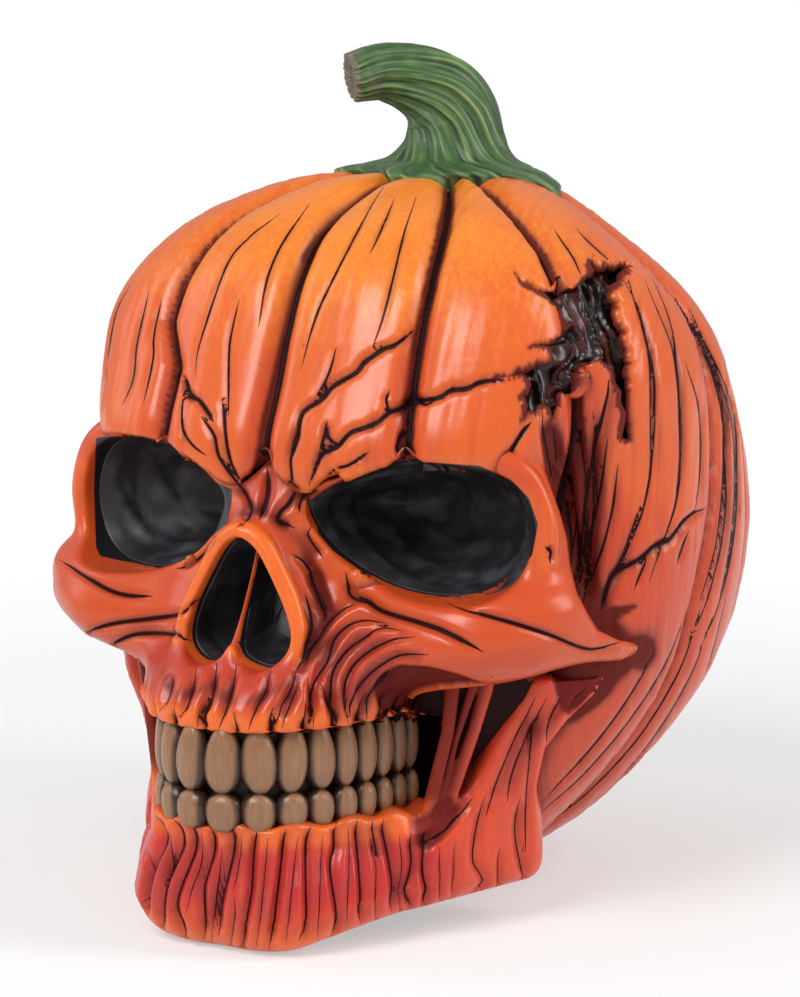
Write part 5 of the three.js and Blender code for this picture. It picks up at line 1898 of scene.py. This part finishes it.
@dataclass
class Teeth:
    """Thirty-six seed-shaped teeth, each pressed to its own place on the arch."""

    material: Material
    thickness: float = 5.6
    proud: float = 0.35
    segments: int = 32
    rings: int = 24

    def seed(self, row: ToothRow) -> bpy.types.Object:
        """Model one seed, a unit wide, deep and high: a ball drawn out and pinched."""
        bpy.ops.object.select_all(action="DESELECT")
        bpy.ops.mesh.primitive_uv_sphere_add(
            segments=self.segments, ring_count=self.rings, radius=0.5
        )
        thing = bpy.context.object
        thing.name = f"{row.name}_seed"
        p = mesh_points(thing.data) * 2
        height = p[:, 2].copy()
        side = np.hypot(p[:, 0], p[:, 1])
        # A ball's sides are drawn out to those of a fuller oval.
        full = (1 - np.abs(height) ** 3.0) ** (1 / 2.4) / np.maximum(side, 1e-6)
        full = np.where(side > 1e-6, full, 0)
        above = ease((height - row.belly) / (1 - row.belly))
        below = ease((row.belly - height) / (1 + row.belly))
        pinch = 1 - (1 - row.root) * above - (1 - row.tip) * below
        p[:, 0] *= full * pinch
        p[:, 1] *= full * (0.55 + 0.45 * pinch)
        thing.data.vertices.foreach_set("co", (p / 2).ravel())
        return thing

    def build(self) -> None:
        """Copy the seeds to their places and finish each one."""
        turns, _, pitch = tooth_places()
        seeds = [self.seed(row) for row in TOOTH_ROWS]
        rng = np.random.default_rng(21)
        for row, seed in zip(TOOTH_ROWS, seeds):
            for side in Side:
                for i, (turn, width) in enumerate(zip(turns, pitch)):
                    mesh = seed.data.copy()
                    self.fit(mesh, row, side, turn, width * row.spread, rng)
                    name = f"{row.name}_tooth_{side.name.lower()}_{i + 1}"
                    finish_piece(f"seed_{name}", mesh, self.material, Slot.TOOTH, name)
            bpy.data.objects.remove(seed)

    def fit(
        self, mesh: bpy.types.Mesh, row: ToothRow, side: Side, turn: float, width: float,
        rng: np.random.Generator,
    ) -> None:
        """Press a copy of the seed to its place on the arch, with its own size, lean and paint."""
        p = mesh_points(mesh)
        middle = ARCH.place(np.array(turn), self.proud)
        across = ARCH.place(np.array(turn + 0.01)) - ARCH.place(np.array(turn - 0.01))
        across /= np.linalg.norm(across)
        outward = np.array([across[1], -across[0]])
        wide = width * rng.uniform(0.98, 1.05)
        high = (row.top - row.bottom) * rng.uniform(0.97, 1.03)
        lean = rng.uniform(-0.05, 0.05)
        sideways = p[:, :1] * wide + lean * p[:, 2:] * high
        x, y = (middle + sideways * across + p[:, 1:2] * self.thickness * outward).T
        z = (row.bottom + row.top) / 2 + p[:, 2] * high
        unit = np.abs(2 * p)
        edge = unit[:, 0] / np.maximum(np.sqrt(1 - np.minimum(unit[:, 2], 1) ** 2.4), 0.2)
        # Painted shade at each tooth's edges and its two ends, where it meets its neighbours, the gum
        # and the other row, with dark paint in the gaps.
        wash_and_shade = 0.95 * ease((edge - 0.5) / 0.4) + 0.6 * ease((unit[:, 2] / 2 - 0.36) / 0.14)
        shade = np.full(len(p), rng.uniform(0, 1))
        streaks = 0.5 + 0.5 * np.sin(p[:, 0] * 14 + rng.uniform(0, 6))
        add_layer(mesh, "tone", np.stack([np.clip(wash_and_shade, 0, 1), shade, streaks], 1))
        mesh.vertices.foreach_set("co", (np.stack([side.value * x, y, z], 1) * MM).ravel())
        if side is Side.LEFT:
            mesh.flip_normals()


@dataclass
class WoundCore:
    """The dark, wet, stringy floor of the broken temple."""

    material: Material
    half_width: float = 34
    half_height: float = 24
    step: float = 0.42
    thickness: float = 2.5
    floor: float = 2.4
    string_height: float = 1.9
    knot_height: float = 0.9
    rim_drop: float = 3.0

    def build(self) -> None:
        """Build, paint and finish the floor."""
        a = np.arange(-self.half_width, self.half_width, self.step)
        b = np.arange(-self.half_height, self.half_height, self.step)
        ga, gb = np.meshgrid(a, b, indexing="ij")
        z = np.clip(WOUND.height + gb, 1, SHELL.form.height - 1)
        azimuth = WOUND.azimuth + ga / (SHELL.form.half_width * 0.85)
        radius = SHELL.radii.read(azimuth, z) - WOUND.recess
        x, y = radius * np.sin(azimuth), SHELL.form.axis_y(z) - radius * np.cos(azimuth)
        inside = WOUND.reach(x, y, z)
        flat = np.stack([ga.ravel(), gb.ravel(), 0 * ga.ravel()], 1)
        warp = noise(flat, 6.0, 31).reshape(ga.shape) * 3.5
        strings = 1 - np.abs(np.sin((ga * 0.75 + gb * 0.35 + warp) * 0.9))
        knots = noise(flat, 2.6, 32).reshape(ga.shape)
        top = WOUND.recess + self.floor - self.string_height * strings**2.2
        top = top - self.knot_height * knots - 0.8 * bump(inside + 0.6, 1.0)
        top = top + self.rim_drop * ease((inside - 1.0) / 2.0)
        rings = []
        for depth in (top, top + self.thickness):
            radius = SHELL.radii.read(azimuth, z) - depth
            y = SHELL.form.axis_y(z) - radius * np.cos(azimuth)
            rings.append(np.stack([radius * np.sin(azimuth), y, z], -1))
        skin = self.slab(rings[0], rings[1])
        # Painted shade between the strings.
        skin.wash_and_shade(0.8, 0.2, 8)
        redness = ease((knots.ravel() + 0.15) / 0.5)
        skin.tone[:, 1] = np.tile(redness, 2)
        skin.piece("wound_floor", self.material, Slot.ROT, "wound_core")

    def slab(self, top: Array, bottom: Array) -> Skin:
        """Close two sheets of points into one skin."""
        n, m = top.shape[:2]
        points = np.vstack([top.reshape(-1, 3), bottom.reshape(-1, 3)])
        i, j = np.meshgrid(np.arange(n - 1), np.arange(m - 1), indexing="ij")
        upper = np.stack([i * m + j, (i + 1) * m + j, (i + 1) * m + j + 1, i * m + j + 1], -1)
        upper = upper.reshape(-1, 4)
        rim = np.concatenate([
            np.arange(m), (np.arange(1, n) * m + m - 1),
            (n - 1) * m + np.arange(m - 2, -1, -1), np.arange(n - 2, 0, -1) * m,
        ])
        after = np.roll(rim, -1)
        side = np.stack([rim, after, after + n * m, rim + n * m], 1)
        return Skin(points, np.vstack([upper, upper[:, ::-1] + n * m, side]))


# The finishes


def linear(colour: str) -> tuple[float, float, float, float]:
    """Turn an sRGB hex colour into linear light."""
    parts = [int(colour[i : i + 2], 16) / 255 for i in (1, 3, 5)]
    lit = [c / 12.92 if c <= 0.04045 else ((c + 0.055) / 1.055) ** 2.4 for c in parts]
    return (*lit, 1.0)


def add_node(
    tree: bpy.types.NodeTree, kind: str, inputs: object = (), out: object = 0, **settings: object
) -> object:
    """Add a node with its settings, values and links.

    Args:
        tree: the node tree.
        kind: the node's type, without its first word.
        inputs: values or sockets in order, or by the input's name or number.
        out: the name or number of the output wanted.
        settings: properties of the node.

    Returns:
        The output, or all outputs where out is None.
    """
    made = tree.nodes.new(f"ShaderNode{kind}")
    for key, value in settings.items():
        setattr(made, key, value)
    for key, value in inputs.items() if isinstance(inputs, dict) else enumerate(inputs):
        if isinstance(value, bpy.types.NodeSocket):
            tree.links.new(value, made.inputs[key])
        else:
            made.inputs[key].default_value = value
    if out is None or not made.outputs:
        return made.outputs
    return made.outputs[out]


SOFT = {"interpolation_type": "SMOOTHSTEP"}


class Coating:
    """A material in the making, on the object's own coordinates."""

    def __init__(self, name: str) -> None:
        """Start an empty material."""
        self.made = bpy.data.materials.new(name)
        self.made.use_nodes = True
        self.made.node_tree.nodes.clear()
        self.add = partial(add_node, self.made.node_tree)
        self.place = self.add("TexCoord", out="Object")

    def painted(self, name: str) -> object:
        """Give the three parts of an attribute of the mesh."""
        layer = self.add("Attribute", out="Vector", attribute_name=name)
        return self.add("SeparateXYZ", (layer,), None)

    def coats(self, first: str, *layers: Sequence[object]) -> object:
        """Lay coats of paint over each other.

        Args:
            first: the colour under them all.
            layers: each coat's share and colour, and where its share starts, ends and tops.

        Returns:
            The colour.
        """
        colour = linear(first)
        for share, paint, *span in layers:
            if span:
                share = self.add("MapRange", (share, span[0], span[1], 0, span[2]), **SOFT)
            inputs = {0: share, 6: colour, 7: linear(paint)}
            colour = self.add("Mix", inputs, 2, data_type="RGBA")
        return colour

    def close(
        self, colour: object, rough: object, relief: Sequence[object], **more: object
    ) -> Material:
        """End in one Principled shader with a relief of strength, depth and height."""
        normal = self.add("Bump", dict(zip(("Strength", "Distance", "Height"), relief)))
        inputs = {"Base Color": colour, "Roughness": rough, "Normal": normal}
        inputs.update({key.replace("_", " "): value for key, value in more.items()})
        self.add("OutputMaterial", {"Surface": self.add("BsdfPrincipled", inputs)})
        return self.made


@dataclass(frozen=True)
class PaintedResin:
    """Cast resin, brush-painted in thin coats, washed dark in the hollows, with painted shade there,
    and varnished.

    The varnish gives a soft gloss, and the brush leaves faint upright streaks.
    """

    name: str
    base: str
    glow: str
    blush: str
    shade: str
    line: str
    black: str = "#1f1e22"
    roughness: float = 0.3
    streak: float = 0.15

    def material(self) -> Material:
        """Build the material."""
        paint = Coating(self.name)
        add, place = paint.add, paint.place
        # Brush streaks are about 1 mm wide and 12 mm long.
        drawn = add("Mapping", {"Vector": place, "Scale": (900, 900, 80)})
        brush = add("TexNoise", {"Vector": drawn, "Scale": 1, "Detail": 3})
        # Cloudy changes of the coats are about 14 mm across.
        cloud = add("TexNoise", {"Vector": place, "Scale": 70, "Detail": 2})
        # Pits left by bubbles are about 0.3 mm across.
        pits = add("TexVoronoi", {"Vector": place, "Scale": 260})
        dark, red, bright = paint.painted("tone")
        signed, reach, width = paint.painted("ink")
        uneven = add("MapRange", (cloud, 0.3, 0.7, -0.12, 0.12), **SOFT)
        streaks = add("MapRange", (brush, 0.35, 0.68, -self.streak, self.streak), **SOFT)
        vary = add("Math", (uneven, streaks), operation="ADD")
        red = add("Math", (red, vary), operation="ADD")
        bright = add("Math", (vary, 0.8, bright), operation="MULTIPLY_ADD")
        dark = add("Math", (vary, 0.16, dark), operation="MULTIPLY_ADD")
        # The painted line: its own half-width, roughened by the brush, near its carved groove.
        away = add("Math", (signed,), operation="ABSOLUTE")
        ragged = add("Math", (brush, 0.16, -0.08), operation="MULTIPLY_ADD")
        away = add("Math", (ragged, away), operation="ADD")
        inner = add("Math", (width, 0.55), operation="MULTIPLY")
        outer = add("Math", (width, 0.1), operation="ADD")
        core = add("MapRange", (away, inner, outer, 1, 0), **SOFT)
        edge = add("Math", (outer, 0.5), operation="MAXIMUM")
        past = add("Math", (edge, 0.3), operation="ADD")
        near = add("MapRange", (reach, edge, past, 1, 0), **SOFT)
        mask = add("Math", (core, near), operation="MULTIPLY")
        speck = add("MapRange", (pits, 0.05, 0.09, 0.8, 0), **SOFT)
        rare = add("MapRange", (cloud, 0.6, 0.64), **SOFT)
        speck = add("Math", (speck, rare), operation="MULTIPLY")
        mask = add("Math", (mask, speck), operation="MAXIMUM")
        # The bright coat is partly painted highlight, and the dark coat partly painted shade.
        colour = paint.coats(
            self.base, (red, self.blush, 0, 1, 1), (bright, self.glow, 0.02, 0.95, 1),
            (dark, self.shade, 0.12, 0.95, 0.94), (mask, self.line),
            (paint.painted("black")[0], self.black, 0.4, 0.6, 1),
        )
        rough = add("MapRange", (dark, 0.3, 1, self.roughness, self.roughness + 0.16), **SOFT)
        height = add("Math", (brush, 0.16), operation="MULTIPLY")
        height = add("Math", (mask, -0.55, height), operation="MULTIPLY_ADD")
        gloss = add("Math", (dark, mask), operation="MAXIMUM")
        gloss = add("MapRange", (gloss, 0.35, 1, 0.45, 0.06), **SOFT)
        return paint.close(colour, rough, (0.45, 0.0006, height), Specular_IOR_Level=gloss)


@dataclass(frozen=True)
class MattBlack:
    """Matt black paint over cast resin, brushed in broad strokes."""

    name: str
    colour: str
    worn: str
    roughness: float = 0.52

    def material(self) -> Material:
        """Build the material."""
        paint = Coating(self.name)
        # Strokes of the brush are about 6 mm long.
        brush = paint.add("TexNoise", {"Vector": paint.place, "Scale": 160, "Detail": 4})
        colour = paint.coats(self.colour, (brush, self.worn, 0.42, 0.78, 1))
        return paint.close(colour, self.roughness, (0.25, 0.0005, brush))


@dataclass(frozen=True)
class TanTooth:
    """Cast resin teeth in ochre paint, with umber paint and painted shade in the gaps and at the
    ends, and pale streaks.
    """

    name: str
    base: str
    pale: str
    wash_and_shade: str
    roughness: float = 0.3

    def material(self) -> Material:
        """Build the material."""
        paint = Coating(self.name)
        add, place = paint.add, paint.place
        # Dry-brushed streaks are about 0.6 mm wide and run the length of the tooth.
        drawn = add("Mapping", {"Vector": place, "Scale": (1600, 1600, 150)})
        brush = add("TexNoise", {"Vector": drawn, "Scale": 1, "Detail": 3})
        uneven = add("Math", (brush, 0.4, -0.2), operation="MULTIPLY_ADD")
        edge = add("Math", (paint.painted("tone")[0], uneven), operation="ADD")
        pits = add("TexVoronoi", {"Vector": place, "Scale": 420})
        speck = add("MapRange", (pits, 0.08, 0.13, 0.8, 0), **SOFT)
        rare = add("MapRange", (brush, 0.62, 0.66), **SOFT)
        speck = add("Math", (speck, rare), operation="MULTIPLY")
        # The dark edges are umber paint and painted shade.
        colour = paint.coats(
            self.base, (brush, self.pale, 0.4, 0.75, 0.3), (edge, self.wash_and_shade, 0.1, 1, 0.95),
            (speck, self.wash_and_shade),
        )
        return paint.close(colour, self.roughness, (0.3, 0.0004, brush))


@dataclass(frozen=True)
class StemGreen:
    """Cast resin stem in deep green, dry-brushed sage and straw on its ridges, with painted highlight
    there and painted shade in the grooves.
    """

    name: str
    base: str
    crest: str
    straw: str
    shade: str
    cut: str
    roughness: float = 0.46

    def material(self) -> Material:
        """Build the material."""
        paint = Coating(self.name)
        add, place = paint.add, paint.place
        # Mottling of the paint is about 3 mm across, and its grain 0.7 mm.
        mottle = add("TexNoise", {"Vector": place, "Scale": 240, "Detail": 4})
        grain = add("TexNoise", {"Vector": place, "Scale": 1400, "Detail": 2})
        dark, end, bright = paint.painted("tone")
        blots = add("Math", (mottle, 0.5, -0.25), operation="MULTIPLY_ADD")
        bright = add("Math", (bright, blots), operation="ADD")
        blots = add("Math", (grain, 0.4, -0.2), operation="MULTIPLY_ADD")
        dark = add("Math", (dark, blots), operation="ADD")
        colour = paint.coats(
            self.base, (bright, self.crest, -0.1, 0.5, 1), (bright, self.straw, 0.3, 1, 0.8),
            (dark, self.shade, 0.1, 0.75, 0.95), (end, self.cut, 0.2, 0.8, 1),
        )
        return paint.close(colour, self.roughness, (0.4, 0.0005, mottle))


@dataclass(frozen=True)
class WetRot:
    """Cast resin painted near black and dark red, under a thick gloss varnish."""

    name: str
    base: str
    red: str
    black: str
    roughness: float = 0.32

    def material(self) -> Material:
        """Build the material."""
        paint = Coating(self.name)
        # Blots of red are about 4 mm across.
        blots = paint.add("TexNoise", {"Vector": paint.place, "Scale": 240, "Detail": 4})
        dark, red, _ = paint.painted("tone")
        uneven = paint.add("Math", (blots, 1.6, -0.8), operation="MULTIPLY_ADD")
        red = paint.add("Math", (red, 0.5, uneven), operation="MULTIPLY_ADD")
        coats = (red, self.red, 0.1, 0.7, 0.85), (dark, self.black, 0.05, 0.6, 1)
        colour = paint.coats(self.base, *coats)
        varnish = {"Coat_Weight": 0.12, "Coat_Roughness": 0.12}
        return paint.close(colour, self.roughness, (0.5, 0.0008, blots), **varnish)


@dataclass
class Studio:
    """A white table, soft lamps and the photograph's camera."""

    table_radius: float = 2.0
    fade: tuple[float, float] = (0.14, 0.42)
    surround: float = 0.42
    lamp_height: float = 0.09

    def table(self) -> None:
        """Build the table, which keeps the shadow and fades to white."""
        bpy.ops.object.select_all(action="DESELECT")
        bpy.ops.mesh.primitive_circle_add(
            vertices=96, radius=self.table_radius, fill_type="NGON"
        )
        top = bpy.context.object
        top.name = "studio_table"
        paper = Coating("matt white paper")
        add = paper.add
        away = add("VectorMath", (paper.place,), "Value", operation="LENGTH")
        path = add("LightPath", out=None)
        eye = add("Math", (path["Is Camera Ray"], path["Is Glossy Ray"]), operation="MAXIMUM")
        far = add("MapRange", (away, *self.fade, 0.45, 1), **SOFT)
        share = add("Math", (eye, far), operation="MULTIPLY")
        sheet = add("BsdfDiffuse", {"Color": (0.86, 0.86, 0.86, 1)})
        white = add("Emission", {"Color": (1, 1, 1, 1), "Strength": 1})
        add("OutputMaterial", {"Surface": add("MixShader", (share, sheet, white))})
        top.data.materials.append(paper.made)

    def world(self) -> None:
        """Set an even surround that the camera sees as white."""
        world = bpy.data.worlds.new("studio")
        world.use_nodes = True
        world.node_tree.nodes.clear()
        add = partial(add_node, world.node_tree)
        path = add("LightPath", out=None)
        rays = (path["Is Camera Ray"], path["Is Transmission Ray"])
        seen = add("Math", rays, operation="MAXIMUM")
        strength = add("MapRange", (seen, 0, 1, self.surround, 1), **SOFT)
        sky = add("Background", {"Color": (1, 1, 1, 1), "Strength": strength})
        add("OutputWorld", {"Surface": sky})
        bpy.context.scene.world = world

    def aim(self, thing: bpy.types.Object, place: Array, target: Array) -> None:
        """Put a lamp or camera in its place and turn it to what it looks at, in metres."""
        thing.location = Vector(place)
        thing.rotation_euler = Vector(target - place).to_track_quat("-Z", "Y").to_euler()
        bpy.context.scene.collection.objects.link(thing)

    def lamp(
        self, name: str, azimuth: float, elevation: float, reach: float,
        size: tuple[float, float], watts: float,
    ) -> None:
        """Hang one soft lamp that looks at the head."""
        data = bpy.data.lights.new(name, "AREA")
        data.shape = "RECTANGLE"
        data.size, data.size_y = size
        data.energy = watts
        lamp = bpy.data.objects.new(name, data)
        target = np.array([0, 0, self.lamp_height])
        self.aim(lamp, target + reach * bearing(azimuth, elevation), target)

    def camera(self) -> None:
        """Set the camera of the photograph, whose frame is higher than it is wide."""
        data = bpy.data.cameras.new("photo_camera")
        data.lens = VIEW.focal * VIEW.sensor / (2 * VIEW.middle[1])
        data.sensor_width = VIEW.sensor
        camera = bpy.data.objects.new("photo_camera", data)
        self.aim(camera, VIEW.place() * MM, np.array(VIEW.target) * MM)
        bpy.context.scene.camera = camera

    def build(self) -> None:
        """Set up everything round the object."""
        self.table()
        self.world()
        self.lamp("key_lamp", -4, 42, 1.0, (0.45, 0.45), 6.5)
        self.lamp("right_lamp", 105, 30, 1.0, (0.35, 0.8), 5.4)
        self.lamp("left_lamp", -75, 25, 1.1, (0.4, 0.8), 1.9)
        self.camera()
        bpy.context.scene.view_settings.view_transform = "Standard"


def main() -> None:
    """Build every piece and the studio in order."""
    logging.basicConfig(level=logging.INFO, format="%(message)s")
    shell_paint = PaintedResin(
        "varnished orange resin", "#d65c25", "#ea8628", "#c44424", "#5c2220", "#240f10"
    ).material()
    bone_paint = PaintedResin(
        "varnished red-orange resin", "#ca4c20", "#e66a24", "#b23426", "#5a1e1c", "#220d0e"
    ).material()
    jaw_paint = PaintedResin(
        "varnished crimson resin", "#d64a22", "#e86a24", "#c42e2c", "#6a2020", "#240d10"
    ).material()
    black = MattBlack("matt black resin", "#1f1e22", "#4a4950").material()
    tan = TanTooth("ochre resin", "#8c6446", "#b08866", "#2a1813").material()
    green = StemGreen(
        "green resin", "#35522f", "#5c7c44", "#98a052", "#17211a", "#6b6353"
    ).material()
    rot = WetRot("wet dark resin", "#1d0a09", "#5a1a12", "#0d0606").material()
    umber = MattBlack("umber wash resin", "#170c0a", "#3a1a15").material()
    face, jaw = FaceBones(bone_paint), JawBone(jaw_paint)
    Cranium(shell_paint, face, jaw).build()
    face.build()
    jaw.build()
    SocketLining(black).build()
    NoseParts(black, bone_paint).build()
    Stem(green).build()
    Teeth(tan).build()
    WoundCore(rot).build()
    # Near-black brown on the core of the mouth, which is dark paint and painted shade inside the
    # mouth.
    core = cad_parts["mouth_core"]
    core.data.materials.clear()
    core.data.materials.append(umber)
    Studio().build()


if __name__ == "__main__":
    main()
